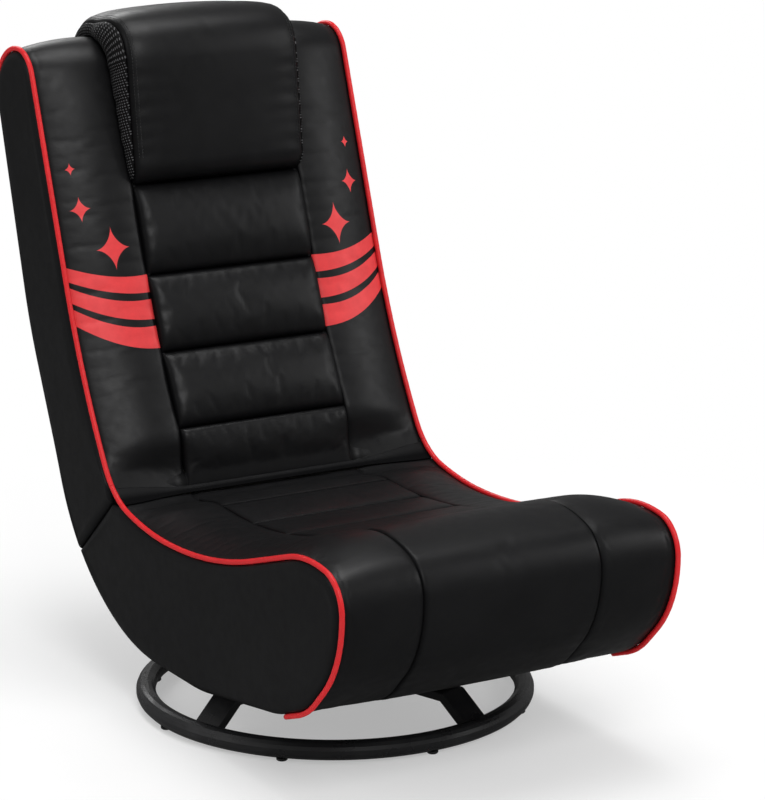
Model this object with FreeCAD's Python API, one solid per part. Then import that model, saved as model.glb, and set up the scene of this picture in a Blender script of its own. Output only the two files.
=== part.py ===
import FreeCAD, Part
import math
import os

os.makedirs("parts", exist_ok=True)
Vec = FreeCAD.Vector

# Folding floor chair on a swivel ring. Millimetres and degrees.
# +Z is up, the sitter faces -Y, and the origin lies on the floor at the middle of the length and width.

# Heights of the swivel, from the floor up
glide_height = 3.0        # how far a glide foot lifts the ring off the floor
tube_diameter = 25.0      # round tube of the ground ring
arm_top = 54.0            # level that the four arms reach at the hub
swivel_plate = 2.5        # thickness of each swivel plate
plate_gap = 8.0           # between the two swivel plates
plate_play = 0.2          # between the upper swivel plate and the seat's underside

# Ground ring, its feet and its arms
ring_radius = 240.0       # swivel axis to the middle of the tube
ring_sides = 16
glide_count = 8
glide_radius = 7.0
glide_chamfer = 1.2
glide_saddle = 2.4         # height of the foot above its chamfer
arm_count = 4
arm_turn = 18.0           # how far the arms stand turned from the chair's own axes
arm_width = 38.0
arm_depth = 11.0
arm_sheet = 2.5
arm_inner_end = 62.0      # swivel axis to the arm's inner end
arm_shoulder = 196.0      # swivel axis to the bend where the arm starts to fall
arm_ring_level = 18.0     # height of the arm's top where it meets the ring
arm_rib_radius = 5.0
arm_rib_length = 48.0
arm_rib_rise = 2.0

# Swivel
plate_side = 180.0
plate_corner = 16.0
race_radius = 60.0        # swivel axis to the middle of the bearing ring
race_width = 16.0
race_height = 3.4
bearing_width = 10.0
track_depth = 1.6         # how deep each track holds the bearing ring
pocket_radius = 2.5
pocket_count = 6
rivet_radius = 12.0
rivet_bore_radius = 9.0
rivet_flange_radius = 17.0
rivet_flange = 1.6
running_clearance = 0.05
arm_bolt_circles = (82.0, 124.0)
arm_bolt_radius = 3.0
arm_bolt_head_radius = 5.5
arm_bolt_head = 3.3
arm_nut_flats = 10.0
arm_nut = 5.0
mount_bolt_spacing = 150.0
mount_bolt_radius = 4.0
mount_bolt_head_radius = 7.0
mount_bolt_head = 4.4
tee_nut_radius = 11.0
tee_nut = 4.0

# Side outline of the padded body: headings are degrees above +Y, along a clockwise walk
flat_rear = 45.0          # the flat underside starts this far behind the swivel axis
flat_length = 95.0
belly_radius = 300.0
belly_heading = 171.3
under_roll_radius = 200.0
under_roll_heading = 160.0
under_roll_length = 31.0
roll_lower_radius = 114.0
roll_lower_heading = 135.0
roll_lower_length = 28.0
roll_face_radius = 140.0
roll_face_heading = 90.0
roll_nose_radius = 43.0
roll_nose_heading = 10.0
crest_radius = 182.0
seat_heading = -18.0
seat_length = 92.5
dip_radius = 730.0
seat_rear_radius = 470.0
seat_rear_heading = 12.8
crease_radius = 104.0
crease_heading = 32.0
lumbar_heading = 57.7
lumbar_radius = 1035.0
back_heading = 70.8
back_length = 274.0
arch_front_radius = 42.0
arch_rear_radius = 66.0
rear_upper_heading = -106.0
rear_upper_length = 237.0
rear_bend_radius = 600.0
rear_lower_heading = -115.0
heel_radius = 296.0

# Width and covers
half_width = 226.5        # middle to the edge where the side panel is sewn on
centre_half = 121.0       # middle to the seam between centre panel and bolster
seam_gap = 0.3
cover = 4.0               # padded cover over the foam
foam_gap = 0.2            # between the foam and its cover
side_bulge = 6.5          # how far the side panel swells past its seam
side_round = 11.0
piping_radius = 3.85
piping_sides = 8
piping_turn = 9.0         # largest turn between two of the piping's sections
piping_stand = 2.8        # out and up from the cover's corner to the middle of the piping

# Crowns of the padded faces above the outline
back_crown = 19.0
arch_crown = 9.0
arch_rear_crown = 3.0     # where the rear cover is sewn on
seat_crown = 18.0
roll_crown = 2.0
back_crease_crown = -12.0
seat_crease_crown = -8.0
bolster_bulge = 7.0
channel_lift = 11.0
rib_lift = 4.0
seam_depth = 5.0
shoulder = 20.0

# Panels along the outline, measured from the crease
first_channel = 79.0
channel_length = 103.0
channel_count = 3
upper_channel = 118.0
first_rib = 80.0
rib_length = 88.0
rib_count = 4

# Headrest pillow
pillow_half = 120.4
pillow_front_low = 36.0   # height over the back's outline at the pillow's lower edge
pillow_front_high = 68.0  # and where it turns over the top
pillow_top = 37.0
pillow_shoulder = 24.0
mesh_thickness = 2.4

# Fold
cut_fall = 41.4           # slope of the cut faces, down to the rear
pivot_depth = 12.0        # crease to the hinge axis, along the cut
cut_gap = 0.4
cut_cover = 2.0
fold_range = 96.0
relief_back_heading = 80.0
relief_reach = 110.0
relief_depth = 0.5        # hinge axis to the bottom of the crease's notch
lip = 4.0                 # padded cover over the foam at the crease
gusset_reach = 16.0
gusset_margin = 0.6       # degrees that it stands off the lips
gusset_valley = 8.5
hinge_inset = 38.5        # side seam to the middle of each hinge
hinge_middle = half_width - hinge_inset
hinge_length = 50.0
hinge_knuckles = 3
knuckle_radius = 4.0
knuckle_play = 0.4
hinge_pin_radius = 2.0
pin_head = 1.2
leaf_width = 46.0
leaf_thickness = 2.0
zip_width = 14.0
zip_thickness = 1.2
zip_inset = 16.0

# Frame inside the foam
frame_tube_radius = 11.0
frame_tube_wall = 1.5
cross_tube_radius = 9.5
rail_inset = 66.5         # side seam to each rail
rail_spread = half_width - rail_inset
back_rail_depth = 62.0    # under the front of the back, at the rail's top
seat_rail_depth = 105.0   # under the seat, at the rail's front end
rail_top_margin = 40.0
rail_foot = 80.0          # hinge axis to the rail's foot, along the board
front_tube_share = 0.94   # places of the cross tubes, as shares of their rails
top_tube_share = 0.96
lumbar_tube_share = 0.3
board_thickness = 15.0
board_inset = 14.5        # side seam to the ends of the hinge boards
board_half = half_width - board_inset
board_margin = 8.0
board_length = 108.0
base_board_half_x = 130.0
base_board_half_y = 100.0
base_board = 12.0
support_width = 40.0
support_thickness = 4.0
support_foot_half = 108.0

# Levels and places that follow
ring_level = glide_height + tube_diameter / 2
lower_plate_top = arm_top + swivel_plate
upper_plate_bottom = lower_plate_top + plate_gap
bearing_bottom = lower_plate_top + race_height - track_depth
bearing_height = plate_gap - 2 * (race_height - track_depth)
upper_plate_top = upper_plate_bottom + swivel_plate
underside = upper_plate_top + plate_play
board_bottom = underside + cover
board_top = board_bottom + base_board
far = 1500.0
sink = 6 * cover


def direction(heading):
    """Unit (y, z) along a heading."""
    return (math.cos(math.radians(heading)), math.sin(math.radians(heading)))


def outward(heading):
    """Unit (y, z) to the left of a heading, which is outward on the clockwise outline."""
    return (-math.sin(math.radians(heading)), math.cos(math.radians(heading)))


def line(length):
    return ("line", length)


def arc_to(radius, heading):
    return ("arc", radius, heading)


def run_end(start, heading, step, offset):
    """End point and end heading of one step that starts at a point, moved outward by offset."""
    if step[0] == "line":
        d = direction(heading)
        return (start[0] + step[1] * d[0], start[1] + step[1] * d[1]), heading
    side = 1.0 if step[2] > heading else -1.0
    radius = step[1] - side * offset
    n0 = outward(heading)
    n1 = outward(step[2])
    centre = (start[0] + side * radius * n0[0], start[1] + side * radius * n0[1])
    return (centre[0] - side * radius * n1[0], centre[1] - side * radius * n1[1]), step[2]


def closing_lengths(before, between, after):
    """Lengths of the belly line and the lower rear line with which the outline meets its start."""
    point = (0.0, 0.0)
    heading = 180.0
    for step in before + between + after:
        point, heading = run_end(point, heading, step, 0.0)
    a = direction(belly_heading)
    b = direction(rear_lower_heading)
    det = a[0] * b[1] - a[1] * b[0]
    belly = (-point[0] * b[1] + point[1] * b[0]) / det
    rear = (-a[0] * point[1] + a[1] * point[0]) / det
    return belly, rear


belly_steps = [line(flat_length), arc_to(belly_radius, belly_heading)]
seat_steps = [
    line(under_roll_length),
    arc_to(roll_lower_radius, roll_lower_heading),
    line(roll_lower_length),
    arc_to(roll_face_radius, roll_face_heading),
    arc_to(roll_nose_radius, roll_nose_heading),
    arc_to(crest_radius, seat_heading),
    line(seat_length),
    arc_to(dip_radius, 0.0),
    arc_to(seat_rear_radius, seat_rear_heading),
    arc_to(crease_radius, crease_heading),
]
back_steps = [
    arc_to(crease_radius, lumbar_heading),
    arc_to(lumbar_radius, back_heading),
    line(back_length),
    arc_to(arch_front_radius, 0.0),
    arc_to(arch_rear_radius, rear_upper_heading),
]
under_step = [arc_to(under_roll_radius, under_roll_heading)]
rear_steps = [line(rear_upper_length), arc_to(rear_bend_radius, rear_lower_heading)]
heel_step = [arc_to(heel_radius, -180.0)]
belly_length, rear_lower_length = closing_lengths(
    belly_steps, under_step + seat_steps + back_steps + rear_steps, heel_step
)
all_steps = (
    belly_steps + [line(belly_length)] + under_step + seat_steps + back_steps
    + rear_steps + [line(rear_lower_length)] + heel_step
)
seat_first = len(belly_steps) + 2
back_first = seat_first + len(seat_steps)
rear_first = back_first + len(back_steps)


def runs(offset):
    """Every step of the outline, moved outward by offset: start, heading, step and end."""
    n = outward(180.0)
    point = (flat_rear + offset * n[0], underside + offset * n[1])
    heading = 180.0
    found = []
    for step in all_steps:
        end, end_heading = run_end(point, heading, step, offset)
        found.append((point, heading, step, end))
        point, heading = end, end_heading
    return found


def run_length(run):
    if run[2][0] == "line":
        return run[2][1]
    return run[2][1] * math.radians(abs(run[2][2] - run[1]))


def point_on(run, share, offset):
    """Point and heading at a share of one run."""
    if run[2][0] == "line":
        step = line(run[2][1] * share)
    else:
        step = arc_to(run[2][1], run[1] + (run[2][2] - run[1]) * share)
    return run_end(run[0], run[1], step, offset)


def at(y, z, x=0.0):
    return Vec(x, y, z)


def run_edge(run, offset):
    """Line or arc of one run, in the plane x = 0."""
    if run[2][0] == "line":
        return Part.LineSegment(at(*run[0]), at(*run[3])).toShape()
    middle = point_on(run, 0.5, offset)[0]
    return Part.Arc(at(*run[0]), at(*middle), at(*run[3])).toShape()


def outline(offset):
    """Closed side outline, moved outward by offset."""
    return Part.Wire([run_edge(run, offset) for run in runs(offset)])


base_runs = runs(0.0)


def place(distance, forward):
    """Point and heading on the outline at a distance from the crease, up the back or over the seat."""
    index = back_first - 1 if forward else back_first
    step = -1 if forward else 1
    left = distance
    while left > run_length(base_runs[index]):
        left -= run_length(base_runs[index])
        index += step
    share = left / run_length(base_runs[index])
    if forward:
        share = 1.0 - share
    return point_on(base_runs[index], share, 0.0)


back_reach = sum(run_length(r) for r in base_runs[back_first:rear_first])
seat_reach = sum(run_length(r) for r in base_runs[seat_first:back_first])
arch_start = sum(run_length(r) for r in base_runs[back_first:back_first + 3])
arch_peak = arch_start + run_length(base_runs[back_first + 3])
crest_start = sum(run_length(r) for r in base_runs[seat_first + 6:back_first])
nose_start = crest_start + run_length(base_runs[seat_first + 5])
nose_end = nose_start + run_length(base_runs[seat_first + 4])

# Fold: the cut plane runs from the crease down to the rear, and the hinge axis lies in it
crease = base_runs[back_first][0]
cut_along = direction(-cut_fall)
cut_up = (-cut_along[1], cut_along[0])
pivot = (crease[0] + pivot_depth * cut_along[0], crease[1] + pivot_depth * cut_along[1])


def on_cut(along, up):
    """Point at a distance from the hinge axis along the cut, and above it on the back's side."""
    return (
        pivot[0] + along * cut_along[0] + up * cut_up[0],
        pivot[1] + along * cut_along[1] + up * cut_up[1],
    )


def prism(points, x0, x1):
    """Polygon of (y, z) points, extruded from x0 to x1."""
    wire = Part.makePolygon([at(y, z, x0) for y, z in points + points[:1]])
    return Part.Face(wire).extrude(Vec(x1 - x0, 0, 0))


def slab(along0, along1, up0, up1, x0, x1):
    """Box that lies along the cut."""
    corners = [on_cut(along0, up0), on_cut(along1, up0), on_cut(along1, up1), on_cut(along0, up1)]
    return prism(corners, x0, x1)


back_side_of_cut = slab(-far, far, cut_gap / 2, far, -far, far)
seat_side_of_cut = slab(-far, far, -far, -cut_gap / 2, -far, far)


def from_point(point, heading, length):
    d = direction(heading)
    return (point[0] + length * d[0], point[1] + length * d[1])


def notch(apex):
    """Wedge with its bottom edge at the apex, as wide open as the fold's travel."""
    corners = [apex]
    for share in (1.0, 0.5, 0.0):
        corners.append(from_point(apex, relief_back_heading + share * fold_range, relief_reach))
    return prism(corners, -far, far)


# Room that the lips of the crease leave, so that back and seat can close on each other
relief = notch(on_cut(relief_depth, 0.0))
lip_depth = lip / math.sin(math.radians(fold_range / 2))
foam_relief = notch(from_point(on_cut(relief_depth, 0.0), relief_back_heading + fold_range / 2, -lip_depth))
side_reach = half_width + side_bulge
padded_block = Part.Face(outline(-cover)).extrude(Vec(2 * side_reach + 20, 0, 0))
padded_block.translate(Vec(-side_reach - 10, 0, 0))
padded_block = padded_block.cut(foam_relief)
inner_block = Part.Face(outline(-cover - foam_gap)).extrude(Vec(2 * (half_width - cover), 0, 0))
inner_block.translate(Vec(cover - half_width, 0, 0))


def hinge_centres():
    return (-hinge_middle, hinge_middle)


def cylinder(radius, start, end):
    """Round bar between two points."""
    along = end - start
    return Part.makeCylinder(radius, along.Length, start, along)


def knuckle_room(extra):
    """Round space about the hinge axis at each hinge."""
    bars = []
    for x in hinge_centres():
        half = hinge_length / 2 + pin_head + extra
        bars.append(cylinder(knuckle_radius + extra, at(*pivot, x - half), at(*pivot, x + half)))
    return Part.makeCompound(bars)


hinge_room = knuckle_room(0.6)


def section(where, corners):
    """Closed wire across the chair: corners are (x, height) with an optional arc middle before each."""
    (y, z), heading = where
    n = outward(heading)
    edges = []
    spots = []
    for corner in corners:
        spots.append([Vec(x, y + h * n[0], z + h * n[1]) for x, h in corner])
    for first, second in zip(spots, spots[1:] + spots[:1]):
        if len(second) == 2:
            edges.append(Part.Arc(first[-1], second[0], second[1]).toShape())
        else:
            edges.append(Part.LineSegment(first[-1], second[-1]).toShape())
    return Part.Wire(edges)


def padded(sections):
    """Solid through sections across the chair, cut where it meets the foam."""
    solid = Part.makeLoft(sections, True, True)
    if solid.Volume < 0:
        solid.reverse()
    return solid.cut(padded_block)


def ease(share):
    """Smooth rise from 0 to 1 as the share goes from 0 to 1."""
    t = min(1.0, max(0.0, share))
    return t * t * (3 - 2 * t)


def back_height(s):
    """Crown of the back above its outline at the centre seams."""
    rise = back_crease_crown + (back_crown - back_crease_crown) * ease(s / first_channel)
    rise += (arch_crown - back_crown) * ease((s - arch_start + 60) / 120)
    return rise + (arch_rear_crown - arch_crown) * ease((s - arch_peak) / (back_reach - arch_peak))


def seat_height(s):
    """Crown of the seat above its outline at the centre seams."""
    rise = seat_crease_crown + (seat_crown - seat_crease_crown) * ease(s / first_rib)
    return rise + (roll_crown - seat_crown) * ease((s - crest_start + 60) / 130)


def spread(start, end, count):
    return [start + (end - start) * i / (count - 1) for i in range(count)]


def back_stops(first):
    """Distances from the crease at which the covers of the back have their sections."""
    stops = spread(0.0, first_channel, 6) + spread(first_channel, arch_start, 6)[1:]
    stops += spread(arch_start, arch_peak, 6)[1:] + spread(arch_peak, back_reach, 9)[1:]
    return [s for s in stops if s > first + 1.0 or first == 0.0]


def seat_stops(first):
    """The same for the covers of the seat, from the crease to the underside."""
    stops = spread(0.0, first_rib, 6) + spread(first_rib, crest_start, 6)[1:]
    stops += spread(crest_start, nose_start, 4)[1:] + spread(nose_start, nose_end, 8)[1:]
    stops += spread(nose_end, seat_reach, 8)[1:]
    return [s for s in stops if s > first + 1.0 or first == 0.0]


def bolster_section(s, forward, height):
    """Outer edge at the side seam, crowned top, inner edge at the centre seam."""
    inner = centre_half + seam_gap
    middle = (half_width + inner) / 2
    bulge = bolster_bulge * ease(height / back_crown) + 1.0
    corners = [
        [(half_width, -sink)],
        [(half_width, 0.0)],
        [(middle, height / 2 + bulge), (inner, height)],
        [(inner, -sink)],
    ]
    return section(place(s, forward), corners)


def centre_section(s, forward, edge, top, crown, half, turn):
    """Pad between the centre seams: edge height, shoulders of width turn, and a top that crowns."""
    lift = (top - edge) * 0.72
    corners = [
        [(-half, -sink)],
        [(half, -sink)],
        [(half, edge)],
        [(half - turn * 0.22, edge + lift), (half - turn, top)],
        [(0.0, top + crown), (-half + turn, top)],
        [(-half + turn * 0.22, edge + lift), (-half, edge)],
    ]
    return section(place(s, forward), corners)


pad_shares = (0.0, 0.07, 0.27, 0.73, 0.93, 1.0)


def pad(start, end, forward, height, lift, shares=pad_shares):
    """Sewn channel between two seams across the chair, puffed in its middle."""
    sections = []
    for share in shares:
        s = start + (end - start) * share
        swell = (1.0 - abs(2 * share - 1) ** 3.2) ** 0.8
        edge = height(s) - seam_depth
        top = height(s) - seam_depth * (1 - swell) + lift * swell + 0.4
        half = centre_half - seam_gap
        sections.append(centre_section(s, forward, edge, top, 0.3 * lift * swell + 0.2, half, shoulder))
    return padded(sections)


# Ground ring, feet and arms, built about the swivel axis at y = 0

def make_base_ring():
    """Ground ring: a faceted round turned about the swivel axis."""
    points = []
    for i in range(ring_sides + 1):
        angle = math.radians((i + 0.5) * 360.0 / ring_sides)
        reach = tube_diameter / 2 * math.cos(angle)
        points.append(Vec(ring_radius + reach, 0, ring_level + tube_diameter / 2 * math.sin(angle)))
    return Part.Face(Part.makePolygon(points)).revolve(Vec(0, 0, 0), Vec(0, 0, 1), 360)


def turned(shape, angle):
    copy = shape.copy()
    copy.rotate(Vec(0, 0, 0), Vec(0, 0, 1), angle)
    return copy


def group(shape, count, first=0.0):
    """The shape, repeated about the swivel axis."""
    return Part.makeCompound([turned(shape, first + 360.0 * i / count) for i in range(count)])


def make_glide_feet():
    """Plastic glide: chamfered foot with a saddle, stuck under the tube."""
    low = Part.makeCone(
        glide_radius - glide_chamfer, glide_radius, glide_chamfer, Vec(ring_radius, 0, 0)
    )
    head = Part.makeCylinder(
        glide_radius, glide_saddle, Vec(ring_radius, 0, glide_chamfer)
    )
    side = glide_radius * 3
    seat = Part.makeCylinder(
        tube_diameter / 2, side, Vec(ring_radius, -side / 2, ring_level), Vec(0, 1, 0)
    )
    return group(low.fuse(head).cut(seat).removeSplitter(), glide_count)


def arm_outline(drop):
    """Side of an arm as (radius, height) points: level at the hub, falling to the ring."""
    fall = math.atan2(arm_top - arm_ring_level, ring_radius - arm_shoulder)
    bend = drop * math.tan(fall / 2)
    reach = ring_radius + 4.0
    slope = math.tan(fall)
    top = [
        (arm_inner_end, arm_top),
        (arm_shoulder, arm_top),
        (reach, arm_top - (reach - arm_shoulder) * slope),
    ]
    if drop == 0.0:
        return top
    return [
        (arm_inner_end, arm_top - drop),
        (arm_shoulder - bend, arm_top - drop),
        (reach - drop * math.sin(fall), top[2][1] - drop * math.cos(fall)),
    ]


def arm_body(depth, width, lower):
    """Strip between two depths below the arm's top, as wide as stated, along +X."""
    points = arm_outline(depth) + arm_outline(lower)[::-1]
    wire = Part.makePolygon([Vec(r, -width / 2, z) for r, z in points + points[:1]])
    return Part.Face(wire).extrude(Vec(0, width, 0))


def make_arm():
    """Pressed channel, open below, with a stiffening rib and a saddle welded to the ring."""
    body = arm_body(0.0, arm_width, arm_depth)
    body = body.makeFillet(arm_sheet, [e for e in body.Edges if is_long_top_edge(e)])
    hollow = arm_body(arm_sheet, arm_width - 2 * arm_sheet, arm_depth + 3.0)
    bead = arm_rib(arm_rib_radius).cut(hollow)
    arm = body.cut(hollow).fuse(bead).cut(base_ring)
    for circle in arm_bolt_circles:
        arm = arm.cut(Part.makeCylinder(arm_bolt_radius, 60.0, Vec(circle, 0, arm_top - 30.0)))
    return max(arm.Solids, key=lambda s: s.Volume)


def arm_rib(half):
    """Stiffening bead along the top of an arm, with sloping ends and sides."""
    end = arm_shoulder - 12.0
    low = [(end - arm_rib_length, -half), (end, -half), (end, half), (end - arm_rib_length, half)]
    rise = arm_rib_rise
    high = [(x + (rise if x < end else -rise), y * (1 - rise / half)) for x, y in low]
    wires = []
    for points, z in ((low, arm_top), (high, arm_top + rise)):
        corners = [Vec(x, y, z) for x, y in points]
        wires.append(Part.makePolygon(corners + corners[:1]))
    return Part.makeLoft(wires, True, True)


def is_long_top_edge(edge):
    """Long edges along the arm's upper corners."""
    box = edge.BoundBox
    level = abs(box.ZMax - arm_top) < 0.01 and box.ZLength < 0.01
    return box.YLength < 0.01 and level and box.XLength > arm_width


def square_plate(bottom):
    half = plate_side / 2
    plate = Part.makeBox(plate_side, plate_side, swivel_plate, Vec(-half, -half, bottom))
    upright = [e for e in plate.Edges if e.BoundBox.ZLength > swivel_plate / 2]
    return plate.makeFillet(plate_corner, upright)


def ring_of(inner, outer, bottom, height):
    disc = Part.makeCylinder(outer, height, Vec(0, 0, bottom))
    return disc.cut(Part.makeCylinder(inner, height, Vec(0, 0, bottom)))


def race(bottom):
    """Raised track for the bearing ring."""
    return ring_of(race_radius - race_width / 2, race_radius + race_width / 2, bottom, race_height)


def race_track():
    """Room for the bearing ring between the two tracks."""
    half = bearing_width / 2 + running_clearance
    return ring_of(race_radius - half, race_radius + half, bearing_bottom, bearing_height)


arm_bolt_spots = [Vec(circle, 0, 0) for circle in arm_bolt_circles]


def make_lower_swivel_plate():
    """Pressed plate on the arms, with a track on top."""
    plate = turned(square_plate(arm_top), 45.0).fuse(race(lower_plate_top)).cut(race_track())
    plate = plate.cut(Part.makeCylinder(rivet_radius, 20.0, Vec(0, 0, arm_top - 5.0)))
    for spot in arm_bolt_spots:
        bore = Part.makeCylinder(arm_bolt_radius, 20.0, spot + Vec(0, 0, arm_top - 5.0))
        plate = plate.cut(group(bore, arm_count))
    return plate.removeSplitter()


def mount_spots():
    half = mount_bolt_spacing / 2
    return [Vec(x, y, 0) for x in (-half, half) for y in (-half, half)]


def make_upper_swivel_plate():
    """Plate that the seat is bolted to, with a track below."""
    plate = square_plate(upper_plate_bottom).fuse(race(upper_plate_bottom - race_height)).cut(race_track())
    bore = rivet_radius + running_clearance
    plate = plate.cut(Part.makeCylinder(bore, 20.0, Vec(0, 0, upper_plate_bottom - 10.0)))
    for spot in mount_spots():
        hole = Part.makeCylinder(mount_bolt_radius, 20.0, spot + Vec(0, 0, upper_plate_bottom - 5.0))
        plate = plate.cut(hole)
    recess = rivet_flange + 2 * running_clearance
    sink_hole = Part.makeCylinder(
        rivet_flange_radius + 0.5, recess, Vec(0, 0, upper_plate_top - recess)
    )
    return plate.cut(sink_hole).removeSplitter()


def make_swivel_rivet():
    """Hollow rivet that holds the two plates together and is the swivel's axle."""
    bottom = arm_top - rivet_flange
    top = upper_plate_top - running_clearance
    shank = Part.makeCylinder(rivet_radius, top - bottom, Vec(0, 0, bottom))
    low = Part.makeCylinder(rivet_flange_radius, rivet_flange, Vec(0, 0, bottom))
    high = Part.makeCylinder(rivet_flange_radius, rivet_flange, Vec(0, 0, top - rivet_flange))
    bore = Part.makeCylinder(rivet_bore_radius, top - bottom, Vec(0, 0, bottom))
    return shank.fuse(low).fuse(high).cut(bore).removeSplitter()


def make_bearing_ring():
    """Plastic ring that the seat turns on, with grease pockets through it."""
    half = bearing_width / 2
    height = bearing_height - running_clearance
    ring = ring_of(race_radius - half, race_radius + half, bearing_bottom, height)
    pocket = Part.makeCylinder(pocket_radius, height, Vec(race_radius, 0, bearing_bottom))
    return ring.cut(group(pocket, pocket_count))


def hexagon(flats, height, bottom):
    corner = flats / math.sqrt(3.0)
    points = [Vec(corner * math.cos(math.radians(60 * i)), corner * math.sin(math.radians(60 * i)), bottom)
              for i in range(7)]
    return Part.Face(Part.makePolygon(points)).extrude(Vec(0, 0, height))


def make_arm_bolts():
    """Round-headed bolt down through plate and arm, with its nut inside the channel."""
    pieces = []
    nut_top = arm_top - arm_sheet
    for spot in arm_bolt_spots:
        head = Part.makeCylinder(arm_bolt_head_radius, arm_bolt_head, Vec(0, 0, lower_plate_top))
        shank_bottom = nut_top - arm_nut - 2.0
        shank = Part.makeCylinder(arm_bolt_radius, lower_plate_top - shank_bottom, Vec(0, 0, shank_bottom))
        bolt = head.fuse(shank).fuse(hexagon(arm_nut_flats, arm_nut, nut_top - arm_nut)).removeSplitter()
        bolt.translate(spot)
        pieces.append(group(bolt, arm_count))
    return Part.makeCompound([s for piece in pieces for s in piece.Solids])


# Seat: fasteners, board and frame

def make_mount_bolts():
    """Four bolts up through the swivel plate, the underside and the board."""
    bolts = []
    top = board_top + support_thickness + tee_nut
    for spot in mount_spots():
        head = Part.makeCylinder(
            mount_bolt_head_radius, mount_bolt_head, Vec(0, 0, upper_plate_bottom - mount_bolt_head)
        )
        shank = Part.makeCylinder(mount_bolt_radius, top - upper_plate_bottom, Vec(0, 0, upper_plate_bottom))
        bolt = head.fuse(shank).removeSplitter()
        bolt.translate(spot)
        bolts.append(bolt)
    return Part.makeCompound(bolts)


def make_mount_nuts():
    """Flanged nuts on the support bars, over the board."""
    bottom = board_top + support_thickness
    nuts = []
    for spot in mount_spots():
        nut = Part.makeCylinder(tee_nut_radius, 1.6, Vec(0, 0, bottom)).fuse(hexagon(13.0, tee_nut, bottom))
        nut = nut.cut(Part.makeCylinder(mount_bolt_radius, 30.0, Vec(0, 0, bottom - 5.0)))
        nut.translate(spot)
        nuts.append(nut.removeSplitter())
    return Part.makeCompound(nuts)


def mount_holes():
    holes = []
    for spot in mount_spots():
        holes.append(Part.makeCylinder(mount_bolt_radius, 60.0, spot + Vec(0, 0, underside - 10.0)))
    return Part.makeCompound(holes)


def make_base_board():
    """Plywood board inside the underside of the seat."""
    board = Part.makeBox(
        2 * base_board_half_x, 2 * base_board_half_y, base_board,
        Vec(-base_board_half_x, -base_board_half_y, board_bottom),
    )
    upright = [e for e in board.Edges if e.BoundBox.ZLength > base_board / 2]
    board = board.makeFillet(20.0, upright).common(inner_block)
    return board.cut(mount_holes())


def make_supports():
    """Two bent bars that carry the rails on the board."""
    half = mount_bolt_spacing / 2
    bars = []
    for y in (-half, half):
        rail_z = rail_level(y) - frame_tube_radius
        low = board_top
        t = support_thickness
        inner = [(-support_foot_half, low + t), (support_foot_half, low + t)]
        outer = [(-support_foot_half - t, low), (support_foot_half + t, low)]
        points = [
            (-rail_spread - t, rail_z), outer[0], outer[1], (rail_spread + t, rail_z),
            (rail_spread - t, rail_z), inner[1], inner[0], (-rail_spread + t, rail_z),
        ]
        wire = Part.makePolygon([Vec(x, y - support_width / 2, z) for x, z in points + points[:1]])
        bar = Part.Face(wire).extrude(Vec(0, support_width, 0))
        bars.append(bar.cut(mount_holes()).cut(rail(-1, rail_spread, 0.0)).cut(rail(-1, -rail_spread, 0.0)))
    return Part.makeCompound([s for bar in bars for s in bar.Solids])


board_face = cut_gap / 2 + cut_cover + board_thickness
board_planes = {-1: slab(-far, far, -board_face, far, -far, far), 1: slab(-far, far, -far, board_face, -far, far)}


def rail_ends(side):
    """Ends of a rail in (y, z): at the hinge board, and under the crest or the top of the back."""
    if side < 0:
        (y, z), heading = place(crest_start, True)
        depth = seat_rail_depth
    else:
        (y, z), heading = place(arch_start - rail_top_margin, False)
        depth = back_rail_depth
    n = outward(heading)
    return on_cut(rail_foot, side * board_face), (y - depth * n[0], z - depth * n[1])


def rail(side, x, wall, extra=0.0):
    """Straight tube, cut flush to the hinge board; extra is the foam's room about it."""
    foot, end = rail_ends(side)
    reach = (foot[0] * 2 - end[0], foot[1] * 2 - end[1])
    middle = (foot[0] * 0.8 + reach[0] * 0.2, foot[1] * 0.8 + reach[1] * 0.2)
    n = direction(math.degrees(math.atan2(end[1] - foot[1], end[0] - foot[0])))
    far_end = (end[0] + extra * n[0], end[1] + extra * n[1])
    bar = cylinder(frame_tube_radius + extra, at(*middle, x), at(*far_end, x))
    if wall:
        bar = bar.cut(cylinder(frame_tube_radius - wall, at(*middle, x), at(*end, x)))
    return bar.cut(board_planes[side])


def along_rail(side, share):
    foot, end = rail_ends(side)
    return (foot[0] + share * (end[0] - foot[0]), foot[1] + share * (end[1] - foot[1]))


def rail_level(y):
    """Height of the seat rails at a place along the chair."""
    foot, end = rail_ends(-1)
    return foot[1] + (y - foot[0]) / (end[0] - foot[0]) * (end[1] - foot[1])


def cross_tube(spot, rails):
    """Tube between the two rails, mitred to them."""
    start = at(*spot, -rail_spread)
    end = at(*spot, rail_spread)
    tube = cylinder(cross_tube_radius, start, end).cut(cylinder(cross_tube_radius - frame_tube_wall, start, end))
    for bar in rails:
        tube = tube.cut(bar)
    return max(tube.Solids, key=lambda s: s.Volume)


def hinge_board(side):
    """Plywood board behind the cut face; side is 1 on the back and -1 on the seat."""
    near = side * (cut_gap / 2 + cut_cover)
    board = slab(board_margin, board_margin + board_length, near, side * board_face, -board_half, board_half)
    for x in hinge_centres():
        board = board.cut(leaf_plate(x, side))
    return board.cut(hinge_room)


def leaf_plate(x, side):
    near = side * (cut_gap / 2 + cut_cover)
    half = hinge_length / 2
    return slab(0.0, leaf_width, near, near + side * leaf_thickness, x - half, x + half)


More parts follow.
